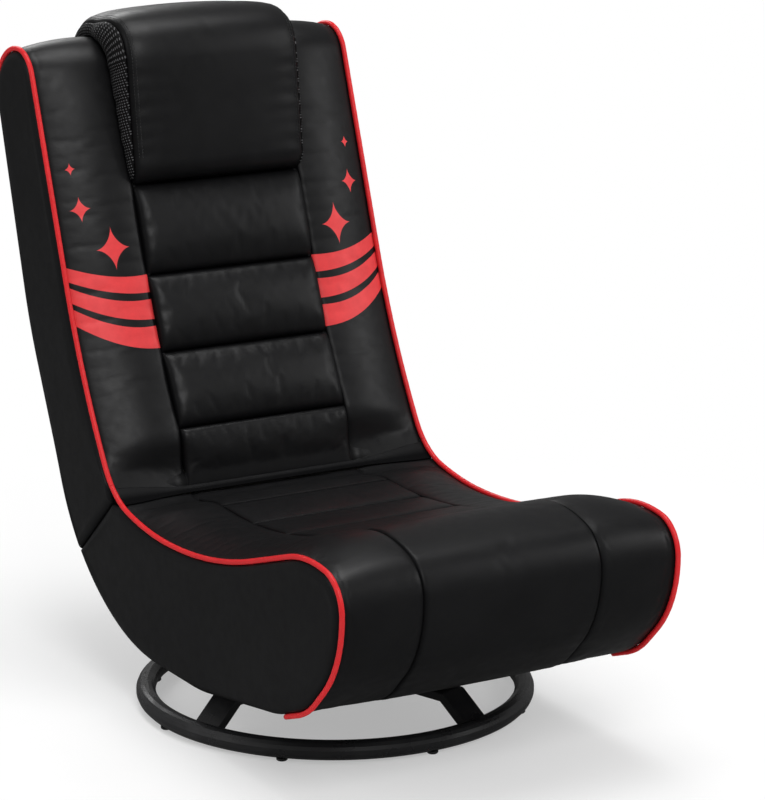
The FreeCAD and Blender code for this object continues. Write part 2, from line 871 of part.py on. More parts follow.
def hinge_leaf(x, side):
    """Leaf with its knuckles rolled about the pin; the seat's leaf holds the outer knuckles."""
    leaf = leaf_plate(x, side)
    pitch = hinge_length / hinge_knuckles
    bore = hinge_pin_radius + running_clearance
    start = x - hinge_length / 2
    for i in range(hinge_knuckles):
        mine = (i % 2 == 0) == (side < 0)
        x0 = start + i * pitch
        x1 = x0 + pitch
        if mine:
            low = x0 + (knuckle_play / 2 if i else 0.0)
            high = x1 - (knuckle_play / 2 if i < hinge_knuckles - 1 else 0.0)
            leaf = leaf.fuse(cylinder(knuckle_radius, at(*pivot, low), at(*pivot, high)))
        else:
            room = knuckle_radius + knuckle_play
            leaf = leaf.cut(cylinder(room, at(*pivot, x0 - knuckle_play / 2), at(*pivot, x1 + knuckle_play / 2)))
    leaf = leaf.cut(cylinder(bore, at(*pivot, start - 5), at(*pivot, start + hinge_length + 5)))
    return max(leaf.removeSplitter().Solids, key=lambda s: s.Volume)


def make_hinge_leaves(side):
    return Part.makeCompound([hinge_leaf(x, side) for x in hinge_centres()])


def make_hinge_pins():
    """Plain pins with a head at each outer end."""
    pins = []
    for x in hinge_centres():
        out = 1.0 if x > 0 else -1.0
        half = hinge_length / 2
        pin = cylinder(hinge_pin_radius, at(*pivot, x - half), at(*pivot, x + half))
        head = at(*pivot, x + out * half)
        pin = pin.fuse(cylinder(knuckle_radius - 0.6, head, head + Vec(out * pin_head, 0, 0)))
        pins.append(pin.removeSplitter())
    return Part.makeCompound(pins)


# Padded pieces

def cut_face_slab(side, near, far_side):
    return slab(-far, far, side * near, side * far_side, -far, far)


def make_cut_cover(side):
    """Plain cover on the face where seat and back meet, with a recess for its zip."""
    near = cut_gap / 2
    sheet = inner_block.common(cut_face_slab(side, near, near + cut_cover))
    return sheet.cut(foam_relief).cut(hinge_room).cut(make_cover_zip(side))


def cut_length():
    """Distance from the hinge axis to the outer end of the cut."""
    line_through = Part.LineSegment(at(*on_cut(0, 0)), at(*on_cut(far, 0))).toShape()
    return line_through.common(Part.Face(outline(-cover))).Length


def make_cover_zip(side):
    """Zip tape along the outer edge of the cut face."""
    near = cut_gap / 2
    end = cut_tip - zip_inset
    half = half_width - cover - zip_inset
    return slab(end - zip_width, end, side * near, side * (near + zip_thickness), -half, half)


cut_tip = cut_length()


def make_foam(side, hollows):
    """Foam core on one side of the cut, hollowed for what it holds."""
    core = inner_block.common(cut_face_slab(side, cut_gap / 2 + cut_cover, far))
    core = core.cut(foam_relief).cut(hinge_room)
    core = core.cut(hollows[0].multiFuse(hollows[1:]).removeSplitter())
    return max(core.Solids, key=lambda s: s.Volume)


def shell_strip(first, last):
    """Cover of even thickness on the outside of the foam, over a stretch of the outline."""
    outer = [run_edge(run, 0.0) for run in runs(0.0)[first:last]]
    inner = [run_edge(run, -cover) for run in runs(-cover)[first:last]]
    start = Part.LineSegment(at(*runs(-cover)[first][0]), at(*runs(0.0)[first][0])).toShape()
    end = Part.LineSegment(at(*runs(0.0)[last - 1][3]), at(*runs(-cover)[last - 1][3])).toShape()
    edges = [start] + outer + [end] + inner
    wire = Part.Wire(Part.__sortEdges__(edges))
    strip = Part.Face(wire).extrude(Vec(2 * half_width, 0, 0))
    strip.translate(Vec(-half_width, 0, 0))
    return strip


def make_rear_cover():
    strip = shell_strip(rear_first, len(all_steps))
    return max(strip.common(back_side_of_cut).Solids, key=lambda s: s.Volume)


def make_bottom_cover():
    """From the zip edge of the cut round the heel and along the underside to the roll."""
    heel = shell_strip(rear_first, len(all_steps)).common(seat_side_of_cut)
    belly = shell_strip(0, seat_first)
    joined = heel.fuse(belly).removeSplitter()
    return max(joined.cut(mount_holes()).Solids, key=lambda s: s.Volume)


def side_layer(offset, x):
    wire = outline(offset)
    wire.translate(Vec(x, 0, 0))
    return wire


def make_side_panel():
    """Right side panel of the whole chair, swelling past its seam."""
    inner = half_width - cover
    slab_part = Part.Face(side_layer(-cover - seam_gap, inner)).extrude(Vec(cover, 0, 0))
    layers = [
        side_layer(-cover, half_width),
        side_layer(-cover - 0.25 * side_round, half_width + 0.6 * side_bulge),
        side_layer(-cover - side_round, half_width + side_bulge),
    ]
    crown = Part.makeLoft(layers, True, True)
    return slab_part.cut(foam_relief).fuse(crown).removeSplitter()


side_panel = make_side_panel().cut(relief)


def mirrored(shape):
    return shape.mirror(Vec(0, 0, 0), Vec(1, 0, 0))


def make_back_bolster():
    sections = [bolster_section(s, False, back_height(s)) for s in back_stops(0.0)]
    cover_part = padded(sections).common(back_side_of_cut).cut(relief)
    return cover_part.cut(hinge_room).cut(leaf_plate(hinge_middle, 1))


def make_seat_bolster():
    sections = [bolster_section(s, True, seat_height(s)) for s in seat_stops(0.0)]
    cover_part = padded(sections).common(seat_side_of_cut).cut(relief)
    return cover_part.cut(hinge_room).cut(leaf_plate(hinge_middle, -1))


channel_seams = [first_channel + channel_length * i for i in range(channel_count)]
channel_seams += [channel_seams[-1] + upper_channel]


def make_channel(number):
    """Channels of the back, counted from the crease up to the pillow."""
    start = channel_seams[number - 2] + seam_gap if number > 1 else 0.0
    end = channel_seams[number - 1] - seam_gap
    shape = pad(start, end, False, back_height, channel_lift)
    if number == 1:
        shape = shape.common(back_side_of_cut).cut(relief)
    return max(shape.Solids, key=lambda s: s.Volume)


def make_seat_ribs():
    """Shallow sewn ribs on the middle of the seat."""
    ribs = []
    start = 0.0
    for i in range(rib_count):
        end = first_rib + rib_length * i
        rib = pad(start + seam_gap, end - seam_gap, True, seat_height, rib_lift)
        if i == 0:
            rib = rib.common(seat_side_of_cut).cut(relief)
        ribs.append(max(rib.Solids, key=lambda s: s.Volume))
        start = end
    return Part.makeCompound(ribs)


def make_front_panel():
    """Smooth middle panel over the front roll, down to the underside."""
    first = first_rib + rib_length * (rib_count - 1) + seam_gap
    sections = []
    stops = [first, first + 10, first + 30] + seat_stops(first + 40)
    for s in stops:
        height = seat_height(s)
        edge = height - 1.0
        top = height + rib_lift * ease((s - first) / 60) - seam_depth * (1 - ease((s - first) / 30))
        top = max(top, edge + 0.4)
        half = centre_half - seam_gap
        sections.append(centre_section(s, True, edge, top, 1.5, half, shoulder))
    return padded(sections)


def make_top_panel(clearance):
    """Middle panel from under the pillow over the top of the back, down to the rear."""
    first = channel_seams[-1] + seam_gap
    sections = []
    stops = [first] + back_stops(first)
    for s in stops:
        height = back_height(s) - 2.0 + clearance
        sections.append(centre_section(s, False, height - 2.0, height, 1.0, centre_half - seam_gap, shoulder))
    return padded(sections)


def pillow_height(s):
    """Front face straight from its lower edge to the turn, then down over the arch to the rear."""
    low = channel_seams[-1]
    turn = arch_start + 8.0
    end = arch_peak + 92.0
    if s < turn:
        rise = pillow_front_low + (pillow_front_high - pillow_front_low) * (s - low) / (turn - low)
        return rise - (pillow_front_low - 16.0) * (1 - ease((s - low) / 34.0))
    if s < arch_peak:
        share = (s - turn) / (arch_peak - turn)
        return pillow_front_high + (pillow_top - pillow_front_high) * ease(share)
    share = (s - arch_peak) / (end - arch_peak)
    return pillow_top + (back_height(s) + 1.0 - pillow_top) * share ** 2


pillow_stops = [0.0, 8.0, 34.0]


def pillow_places():
    low = channel_seams[-1]
    stops = [low + s for s in pillow_stops] + spread(low + 85, arch_start - 8, 2)
    stops += spread(arch_start + 10, arch_peak, 5) + spread(arch_peak, arch_peak + 92, 5)[1:]
    return stops


def make_pillow():
    """Headrest pillow, wrapped over the top of the back."""
    sections = []
    for s in pillow_places():
        top = pillow_height(s)
        edge = max(0.45 * top, top - pillow_shoulder)
        sections.append(centre_section(s, False, edge, top, 5.0, pillow_half, pillow_shoulder))
    shape = padded(sections)
    shape = shape.cut(channel_solids[-1]).cut(make_top_panel(seam_gap))
    return max(shape.Solids, key=lambda s: s.Volume)


def make_pillow_mesh():
    """Mesh gusset on the pillow's right side, standing on the bolster."""
    sections = []
    for s in pillow_places()[1:]:
        top = pillow_height(s)
        high = max(0.45 * top, top - pillow_shoulder) + 1.0
        inner = pillow_half + seam_gap
        outer = inner + mesh_thickness
        corners = [[(inner, -sink)], [(outer, -sink)], [(outer, high)], [(inner, high)]]
        sections.append(section(place(s, False), corners))
    return padded(sections).cut(back_bolster)


def cord_section(where):
    """Outline of the piping across its length, faceted."""
    (y, z), heading = where
    n = outward(heading)
    points = []
    for i in range(piping_sides):
        angle = math.radians((i + 0.5) * 360.0 / piping_sides)
        x = half_width + piping_stand + piping_radius * math.cos(angle)
        h = piping_stand + piping_radius * math.sin(angle)
        points.append(Vec(x, y + h * n[0], z + h * n[1]))
    return Part.makePolygon(points + points[:1])


def cord(first, last):
    """Piping along the side seam over a stretch of the outline."""
    sections = []
    for run in base_runs[first:last]:
        count = 1
        if run[2][0] == "arc":
            count = max(1, math.ceil(abs(run[2][2] - run[1]) / piping_turn))
        for i in range(count):
            sections.append(cord_section(point_on(run, i / count, 0.0)))
    sections.append(cord_section(point_on(base_runs[last - 1], 1.0, 0.0)))
    return Part.makeLoft(sections, True, True)


def make_piping(forward):
    """Right-hand piping along the side seam, from the crease to the end of its stretch."""
    if forward:
        return cord(seat_first, back_first).cut(relief).common(seat_side_of_cut)
    return cord(back_first, rear_first).cut(relief).common(back_side_of_cut)


def make_crease_piping():
    """Short flexible length of piping that bridges the fold."""
    return cord(back_first - 1, back_first + 1).common(relief)


def on_notch(share, length):
    """Point in the crease's notch: share 0 is at the back's lip and 1 at the seat's."""
    margin = gusset_margin * (1 - 2 * share)
    heading = relief_back_heading + margin + share * fold_range
    return from_point(on_cut(relief_depth, 0.0), heading, length)


def gusset_section(x, corners):
    points = [Vec(x, y, z) for y, z in corners]
    return Part.makePolygon(points + points[:1])


def lip_length(forward):
    """Distance from the notch's bottom to where its face leaves the side outline."""
    share = 1.0 if forward else 0.0
    ray = Part.LineSegment(at(*on_notch(share, 0.0)), at(*on_notch(share, relief_reach))).toShape()
    inside = ray.common(Part.Face(outline(0.0)))
    return inside.Length


def make_crease_gusset():
    """Flexible fold between the lips, with its valley on the hinge line, rising to the piping at each end."""
    low = on_notch(0.5, 0.0)
    deep = [low, on_notch(1.0, gusset_reach), on_notch(0.86, gusset_reach), on_notch(0.5, gusset_valley)]
    deep += [on_notch(0.14, gusset_reach), on_notch(0.0, gusset_reach)]
    seat_lip = lip_length(True) - 0.5
    back_lip = lip_length(False) - 0.5
    brim = [low, on_notch(1.0, seat_lip), on_notch(0.86, 0.9 * seat_lip)]
    brim += [(crease[0] + 0.4, crease[1] - 0.6), on_notch(0.14, 0.9 * back_lip), on_notch(0.0, back_lip)]
    end = half_width + piping_stand - piping_radius - seam_gap
    widths = (-end, -centre_half, centre_half, end)
    sections = [gusset_section(x, corners) for x, corners in zip(widths, (brim, deep, deep, brim))]
    room = cylinder(knuckle_radius + 1.4, at(*pivot, -far), at(*pivot, far))
    return Part.makeLoft(sections, True, True).cut(room)


back_bolster = make_back_bolster()
channel_solids = [make_channel(i + 1) for i in range(len(channel_seams))]
top_panel = make_top_panel(0.0)
pillow_mesh = make_pillow_mesh()
seat_bolster = make_seat_bolster()
base_ring = make_base_ring()
arm = make_arm()

seat_rails = [rail(-1, -rail_spread, 0.0), rail(-1, rail_spread, 0.0)]
back_rails = [rail(1, -rail_spread, 0.0), rail(1, rail_spread, 0.0)]
front_spot = along_rail(-1, front_tube_share)
top_spot = along_rail(1, top_tube_share)
lumbar_spot = along_rail(1, lumbar_tube_share)


def cross_room(spot):
    """The foam's room about a cross tube."""
    return cylinder(cross_tube_radius + foam_gap, at(*spot, -rail_spread), at(*spot, rail_spread))


def rail_rooms(side):
    return [rail(side, -rail_spread, 0.0, foam_gap), rail(side, rail_spread, 0.0, foam_gap)]


def board_room():
    """The foam's room for the base board, open below, and for the nuts over it."""
    x = base_board_half_x + foam_gap
    y = base_board_half_y + foam_gap
    room = Part.makeBox(2 * x, 2 * y, base_board + sink, Vec(-x, -y, board_top - base_board - sink))
    for spot in mount_spots():
        nut_room = Part.makeCylinder(tee_nut_radius + foam_gap, support_thickness + tee_nut + foam_gap,
                                     spot + Vec(0, 0, board_top))
        room = room.fuse(nut_room)
    return room


seat_board = hinge_board(-1)
back_board = hinge_board(1)
base_board_solid = make_base_board()
supports = make_supports()
mount_nuts = make_mount_nuts()
mount_bolts = make_mount_bolts()
seat_leaves = make_hinge_leaves(-1)
back_leaves = make_hinge_leaves(1)

seat_hollows = rail_rooms(-1) + [cross_room(front_spot), seat_board, board_room(), supports, seat_leaves]
back_hollows = rail_rooms(1) + [cross_room(top_spot), cross_room(lumbar_spot), back_board, back_leaves]

nodes = {
    "base_ring": base_ring,
    "glide_feet": make_glide_feet(),
    "lower_swivel_plate": turned(make_lower_swivel_plate(), arm_turn),
    "arm_bolts": turned(make_arm_bolts(), arm_turn),
    "bearing_ring": make_bearing_ring(),
    "swivel_rivet": make_swivel_rivet(),
    "upper_swivel_plate": make_upper_swivel_plate(),
    "seat_mount_bolts": mount_bolts,
    "seat_mount_nuts": mount_nuts,
    "seat_base_board": base_board_solid,
    "seat_supports": supports,
    "seat_front_tube": cross_tube(front_spot, seat_rails),
    "seat_hinge_board": seat_board,
    "seat_hinge_leaves": seat_leaves,
    "hinge_pins": make_hinge_pins(),
    "seat_foam": make_foam(-1, seat_hollows),
    "seat_cut_cover": make_cut_cover(-1),
    "seat_zip_tape": make_cover_zip(-1),
    "seat_bottom_cover": make_bottom_cover(),
    "seat_ribs": make_seat_ribs(),
    "seat_front_panel": make_front_panel(),
    "crease_gusset": make_crease_gusset(),
    "crease_piping": Part.makeCompound([make_crease_piping(), mirrored(make_crease_piping())]),
    "back_top_tube": cross_tube(top_spot, back_rails),
    "back_lumbar_tube": cross_tube(lumbar_spot, back_rails),
    "back_hinge_board": back_board,
    "back_hinge_leaves": back_leaves,
    "back_foam": make_foam(1, back_hollows),
    "back_cut_cover": make_cut_cover(1),
    "back_zip_tape": make_cover_zip(1),
    "back_rear_cover": make_rear_cover(),
    "back_top_panel": top_panel,
    "headrest_pillow": make_pillow(),
}
for i in range(arm_count):
    nodes["base_arm_%d" % (i + 1)] = turned(arm, arm_turn + 360.0 * i / arm_count)
for i, solid in enumerate(channel_solids):
    nodes["back_channel_%d" % (i + 1)] = solid
for side, x in (("left", -rail_spread), ("right", rail_spread)):
    nodes["seat_rail_" + side] = rail(-1, x, frame_tube_wall)
    nodes["back_rail_" + side] = rail(1, x, frame_tube_wall)
paired = {
    "seat_side_panel": side_panel.common(seat_side_of_cut),
    "back_side_panel": side_panel.common(back_side_of_cut),
    "seat_bolster": seat_bolster,
    "back_bolster": back_bolster,
    "seat_piping": make_piping(True),
    "back_piping": make_piping(False),
    "headrest_mesh": pillow_mesh,
}
for name, shape in paired.items():
    nodes[name + "_right"] = shape
    nodes[name + "_left"] = mirrored(shape)

# Origin at the middle of the length: everything moves by the same step
whole = Part.makeCompound(list(nodes.values())).optimalBoundingBox(False, False)
to_middle = -(whole.YMin + whole.YMax) / 2

for name, shape in sorted(nodes.items()):
    solids = shape.Solids
    solid_count = len(solids)
    moved = Part.makeCompound(solids) if solid_count > 1 else solids[0]
    moved = moved.copy()
    moved.translate(Vec(0, to_middle, 0))
    moved.exportStep("parts/" + name + ".step")
    print("%-22s %2d solid(s) valid %s volume %.0f" % (name, solid_count, moved.isValid(), moved.Volume))

print("nodes", len(nodes))
print("whole x %.2f y %.2f z %.2f" % (whole.XLength, whole.YLength, whole.ZLength), whole.XMin, whole.ZMin)
print("swivel axis y %.3f" % to_middle)
print("hinge axis y %.3f z %.3f" % (pivot[0] + to_middle, pivot[1]))
print("crease y %.2f z %.2f" % (crease[0] + to_middle, crease[1]))
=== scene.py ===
"""Folding floor chair on a swivel ring: padded covers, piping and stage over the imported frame."""

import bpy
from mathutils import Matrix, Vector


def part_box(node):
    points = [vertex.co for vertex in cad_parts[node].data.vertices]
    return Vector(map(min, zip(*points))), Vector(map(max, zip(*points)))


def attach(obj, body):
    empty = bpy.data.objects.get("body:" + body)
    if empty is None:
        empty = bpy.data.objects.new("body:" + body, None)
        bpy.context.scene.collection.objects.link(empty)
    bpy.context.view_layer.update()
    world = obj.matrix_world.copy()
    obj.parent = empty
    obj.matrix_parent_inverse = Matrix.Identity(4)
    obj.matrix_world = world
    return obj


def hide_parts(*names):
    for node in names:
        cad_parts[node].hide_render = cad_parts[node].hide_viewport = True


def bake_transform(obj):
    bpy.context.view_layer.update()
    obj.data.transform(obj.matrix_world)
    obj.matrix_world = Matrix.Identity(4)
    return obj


bl_info = {
    "name": "Folding floor chair",
    "version": (1, 0, 0),
    "blender": (4, 5, 0),
    "location": "3D View > Sidebar > Floor chair",
    "description": "Dresses the frame of a folding floor chair in its padded covers",
    "category": "Object",
}

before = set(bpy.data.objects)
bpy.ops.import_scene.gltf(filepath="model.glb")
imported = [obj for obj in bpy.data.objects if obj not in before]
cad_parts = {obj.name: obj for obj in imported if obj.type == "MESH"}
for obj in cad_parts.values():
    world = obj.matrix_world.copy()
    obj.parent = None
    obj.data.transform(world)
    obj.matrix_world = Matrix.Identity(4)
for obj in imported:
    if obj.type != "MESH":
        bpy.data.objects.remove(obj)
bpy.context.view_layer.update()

import math

import bmesh
import bpy
import numpy as np
from bpy.props import FloatProperty, FloatVectorProperty, PointerProperty
from mathutils import Vector

MM = 0.001

# Side outline of the padded body, as in the frame's source: each run is the radius of an arc in millimetres and
# the heading where it ends in degrees above +Y, or the length of a line and 0. A line of length 0 is open.
swivel_y = 500.0 * (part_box("base_ring")[0][1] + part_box("base_ring")[1][1])
underside = 67.2
flat_rear = 45.0
rear_runs = ((95.0, 0), (300.0, 171.3), (0, 0), (200.0, 160.0))
seat_runs = ((31.0, 0), (114.0, 135.0), (28.0, 0), (140.0, 90.0), (43.0, 10.0), (182.0, -18.0),
             (92.5, 0), (730.0, 0.001), (470.0, 12.8), (104.0, 32.0))
back_runs = ((104.0, 57.7), (1035.0, 70.8), (274.0, 0), (42.0, 0.001), (66.0, -106.0), (237.0, 0),
             (600.0, -115.0), (0, 0), (296.0, -180.0))
all_runs = rear_runs + seat_runs + back_runs

# Padded body: half widths, heights over the outline and distances from the crease, in millimetres
half_width = 226.5
cover_half, cut_half, foam_half, zip_half = 226.1, 221.9, 222.2, 206.2
centre_half = 121.0
seam_gap = 0.05
# seam_fade: distance over which the seam mark fades, the mask of the painted shade along seams and of held cloth
seam_fade = 5.0
cover = 4.0
side_bulge, panel_turn, panel_depth = 6.5, 13.0, 3.6
piping_stand = 2.1
back_crown, arch_crown, arch_rear_crown, back_crease_crown = 19.0, 9.0, 3.0, -12.0
seat_crown, roll_crown, seat_crease_crown = 18.0, 2.0, -8.0
bolster_bulge, channel_lift, channel_depth, rib_lift, rib_depth = 7.0, 9.5, 5.0, 1.6, 2.2
first_seam, first_channel, channel_length, pillow_start = 2.5, 79.0, 103.0, 403.0
first_rib, rib_length = 80.0, 88.0
pillow_half, pillow_flare, mesh_swell, mesh_thick = 120.6, 2.0, 9.0, 1.6
pillow_front_low, pillow_front_high, pillow_top, pillow_shoulder = 42.0, 77.0, 39.0, 13.0
pillow_lip, pillow_tail = 16.0, 92.0
stitch_share = 0.72
to_middle = 999.0

# Cut between the back and the seat, under the crease, and the fold that fills the notch over it
cut_fall, pivot_depth, relief_depth = 41.4, 12.0, 0.5
back_lip_heading, seat_lip_heading = 80.0, 176.0
notch_reach = 110.0
lip_round, pad_clear, foam_clear = 2.6, 0.4, 6.5
fold_depth, fold_arm = 5.2, 7.4
zip_inset, tooth_pitch = 24.0, 3.0

# Pressed-on bands, lowest first, each narrower and straighter than the one below it, and stars (height, width,
# distance up the back, distance from the middle)
band_count = 3
band_inner_start, band_inner_width, band_inner_gap, band_inner_taper = 188.0, 30.0, 9.0, 3.2
band_outer_start, band_outer_width, band_outer_gap, band_outer_taper = 234.0, 21.5, 7.5, 1.5
band_sag, band_sag_taper = 12.5, 1.9
stars = ((57.0, 45.0, 324.0, 163.5), (34.0, 26.5, 379.0, 197.0), (16.5, 13.0, 432.0, 201.5))
star_power = 0.62
print_blur = 0.12

# Materials: length of a wave of the wave texture, and the tones of raw plywood
texture_wave = 0.314
wood_pale, wood_dark = (0.62, 0.46, 0.29), (0.45, 0.3, 0.17)

# Camera: place from the swivel's axis in millimetres, lens, tilt down and turn to the right in degrees
camera_side, camera_front, camera_up = -2055.97, -3651.70, 1463.55
camera_lens, camera_tilt, camera_turn = 156.53, 14.385, 30.2
# Lamps: name, place, height aimed at and size in metres, power in watts
lamps = (("key lamp", (-0.9, -3.0, 3.1), 0.4, (1.5, 1.5), 52.0),
         ("fill lamp", (2.8, -1.8, 2.0), 0.4, (1.6, 1.6), 26.0),
         ("top lamp", (0.2, 0.2, 3.6), 0.3, (1.8, 1.8), 56.0),
         ("side lamp", (-3.2, 0.6, 2.2), 0.4, (1.6, 1.6), 20.0),
         ("rear lamp", (0.4, 3.2, 2.2), 0.5, (1.6, 1.2), 26.0))
# Shares of the world's light and of the floor that reflections miss, as with black flags round the object
world_level, world_miss, floor_miss = 0.42, 0.55, 0.9
floor_reach = 14000.0

# Cloth simulation: extra length of the slack cloth as a share, pressure, mass of a vertex, steps and frames
cloth_slack, cloth_pressure, cloth_mass, cloth_quality, cloth_frames = 0.005, 4.0, 0.3, 5, 20
# Its largest moves in millimetres
bolster_press, channel_press, rib_press, end_press, pillow_press = 2.0, 3.0, 1.0, 2.0, 3.0


def leg(length, start, end):
    """Step made along a run: its length over its turn, times the change in (sin, -cos) of the heading."""
    turn = end - start
    if abs(turn) < 1e-9:
        return length * np.array([math.cos(start), math.sin(start)])
    return length / turn * np.array([math.sin(end) - math.sin(start), math.cos(start) - math.cos(end)])


def walk_outline():
    """Closed walk round the side: length, first and last heading of each run. The open lines get the lengths that
    bring it back to its start."""
    walk = []
    heading = math.pi
    for size, end in all_runs:
        finish = math.radians(end) if end else heading
        walk.append([size * abs(finish - heading) if end else size, heading, finish])
        heading = finish
    rest = sum(leg(*run) for run in walk)
    opened = [i for i, (size, _) in enumerate(all_runs) if not size]
    ways = np.array([leg(1.0, walk[i][1], walk[i][2]) for i in opened]).T
    for i, length in zip(opened, np.linalg.solve(ways, -rest)):
        walk[i][0] = float(length)
    return walk


def reach_of(count):
    """Distance from the crease past so many runs, up the back or, where count is below 0, along the seat."""
    return float(abs(knots[crease_at + count] - crease_travel))


walk = walk_outline()
knots = np.concatenate([[0.0], np.cumsum([run[0] for run in walk])])
turns = np.array([math.pi] + [run[2] for run in walk])
crease_at = len(rear_runs + seat_runs)
crease_travel, whole_way = knots[crease_at], knots[-1]
travel = np.linspace(0.0, whole_way, 9001)
headings = np.interp(travel, knots, turns)
middles = np.interp((travel[1:] + travel[:-1]) / 2, knots, turns)
stride = travel[1] - travel[0]
outline_y = flat_rear + swivel_y + np.concatenate([[0.0], np.cumsum(np.cos(middles))]) * stride
outline_z = underside + np.concatenate([[0.0], np.cumsum(np.sin(middles))]) * stride
arch_start, arch_peak, back_reach = reach_of(3), reach_of(4), reach_of(5)
crest_start, nose_end, seat_reach = reach_of(-4), reach_of(-6), reach_of(-len(seat_runs))


# Surfaces: distances along the outline are from the crease, up the back, and below zero on the seat

def place(s):
    """Point and heading of the outline at a distance from the crease, read off the walk."""
    at = np.mod(np.asarray(s, float) + crease_travel, whole_way)
    return tuple(np.interp(at, travel, row) for row in (outline_y, outline_z, headings))


def skin(s, x, h):
    """Points at (x, outline + h times its outward normal), for a grid of distances, widths and heights."""
    y, z, heading = place(s)
    parts = np.broadcast_arrays(x, y - h * np.sin(heading), z + h * np.cos(heading))
    return np.stack(parts, axis=-1)


def ease(t):
    """Smooth rise 3t^2 - 2t^3 from 0 to 1."""
    t = np.clip(t, 0.0, 1.0)
    return t * t * (3 - 2 * t)


def back_height(s):
    """Height of the back's centre seams over the outline: eased steps between its named crowns."""
    rise = back_crease_crown + (back_crown - back_crease_crown) * ease(s / first_channel)
    rise = rise + (arch_crown - back_crown) * ease((s - arch_start + 60) / 120)
    return rise + (arch_rear_crown - arch_crown) * ease((s - arch_peak) / (back_reach - arch_peak))


def seat_height(s):
    """The same along the seat, by distance forward of the crease."""
    rise = seat_crease_crown + (seat_crown - seat_crease_crown) * ease(s / first_rib)
    return rise + (roll_crown - seat_crown) * ease((s - crest_start) / (nose_end - crest_start))


def ripple(a, seed):
    """Uneven waves along a seam: half the sum of three sines whose lengths share no factor, near -1 to 1."""
    return (np.sin(a / 3.1 + seed) + 0.8 * np.sin(a / 5.3 + 2.3 * seed) + 0.6 * np.sin(a / 9.7 + 4.1 * seed)) / 2.0


def heading_way(degrees):
    """Unit step (y, z) along a heading."""
    return np.array([math.cos(math.radians(degrees)), math.sin(math.radians(degrees))])


crease = np.array(place(0.0)[:2])
cut_way = heading_way(-cut_fall)
cut_up = heading_way(90.0 - cut_fall)
apex = crease + (pivot_depth + relief_depth) * cut_way
pivot = crease + pivot_depth * cut_way


def keep_clear(points, side, margin):
    """Presses points back onto the lip of the crease, and onto their own side of the cut: each moves along
    that plane's normal by its depth past the plane, eased as r ln(1 + e^(depth/r)), and the lip's push fades out
    past the notch."""
    rel = points[..., 1:] - apex
    lip = heading_way(back_lip_heading if side > 0 else seat_lip_heading)
    into = np.array([-lip[1], lip[0]]) if side > 0 else np.array([lip[1], -lip[0]])
    along = rel @ lip
    depth = np.clip((rel @ into + margin) / lip_round, -30, 30)
    push = lip_round * np.log1p(np.exp(depth)) * (1 - ease((along - notch_reach + 6) / 34.0)) * (along > -40)
    pressed = points.copy()
    pressed[..., 1:] -= push[..., None] * into
    rel = pressed[..., 1:] - apex
    over = np.maximum(margin * 0.8 + 0.25 - side * (rel @ cut_up), 0.0) * (np.abs(rel @ cut_way) < 60)
    pressed[..., 1:] += side * over[..., None] * cut_up
    return pressed


def show(name, data):
    """Object of the scene from its data."""
    thing = bpy.data.objects.new(name, data)
    bpy.context.scene.collection.objects.link(thing)
    return thing


def add_mesh(name, verts, faces, material, uv=None, marks=None, weld=0.02):
    """Mesh object at the origin from points in millimetres, welded, with its faces turned outwards."""
    mesh = bpy.data.meshes.new(name)
    mesh.from_pydata((np.asarray(verts) * MM).tolist(), [], [tuple(f) for f in faces])
    for key, values in (marks or {}).items():
        layer = mesh.attributes.new(key, "FLOAT", "POINT")
        layer.data.foreach_set("value", np.asarray(values, np.float32).ravel())
    if uv is not None:
        corner = np.empty(len(mesh.loops), np.int32)
        mesh.loops.foreach_get("vertex_index", corner)
        layer = mesh.uv_layers.new(name="UVMap")
        layer.data.foreach_set("uv", (np.asarray(uv, float).reshape(-1, 2)[corner] * MM).ravel())
    work = bmesh.new()
    work.from_mesh(mesh)
    if weld:
        bmesh.ops.remove_doubles(work, verts=work.verts, dist=weld * MM)
    bmesh.ops.recalc_face_normals(work, faces=work.faces)
    work.to_mesh(mesh)
    work.free()
    mesh.polygons.foreach_set("use_smooth", np.ones(len(mesh.polygons), bool))
    mesh.materials.append(material)
    return show(name, mesh)


def band_faces(n, m, wrap=True):
    """Quads between neighbouring rows of an n by m grid of points."""
    i = np.arange(n - 1)[:, None]
    j = np.arange(m if wrap else m - 1)[None, :]
    k = (j + 1) % m
    return np.stack([i * m + j, i * m + k, (i + 1) * m + k, (i + 1) * m + j], axis=-1).reshape(-1, 4).tolist()


def tube_of(name, loops, material, uv=None, marks=None, capped=True):
    """Closed form through loops of points: quads between loops, and a fan to the middle of each end loop."""
    n, m = loops.shape[:2]
    verts = loops.reshape(-1, 3)
    faces = band_faces(n, m)
    if capped:
        verts = np.concatenate([verts, loops[[0, -1]].mean(axis=1)])
        first = np.arange(m)
        after = (first + 1) % m
        last = (n - 1) * m
        faces += np.stack([np.full(m, n * m), after, first], axis=-1).tolist()
        faces += np.stack([np.full(m, n * m + 1), last + first, last + after], axis=-1).tolist()
        if uv is not None:
            uv = np.concatenate([uv.reshape(-1, 2), uv[[0, -1]].mean(axis=1)])
        marks = {key: np.concatenate([v.ravel(), v[[0, -1]].mean(axis=1)]) for key, v in (marks or {}).items()}
    return add_mesh(name, verts, faces, material, uv, marks)


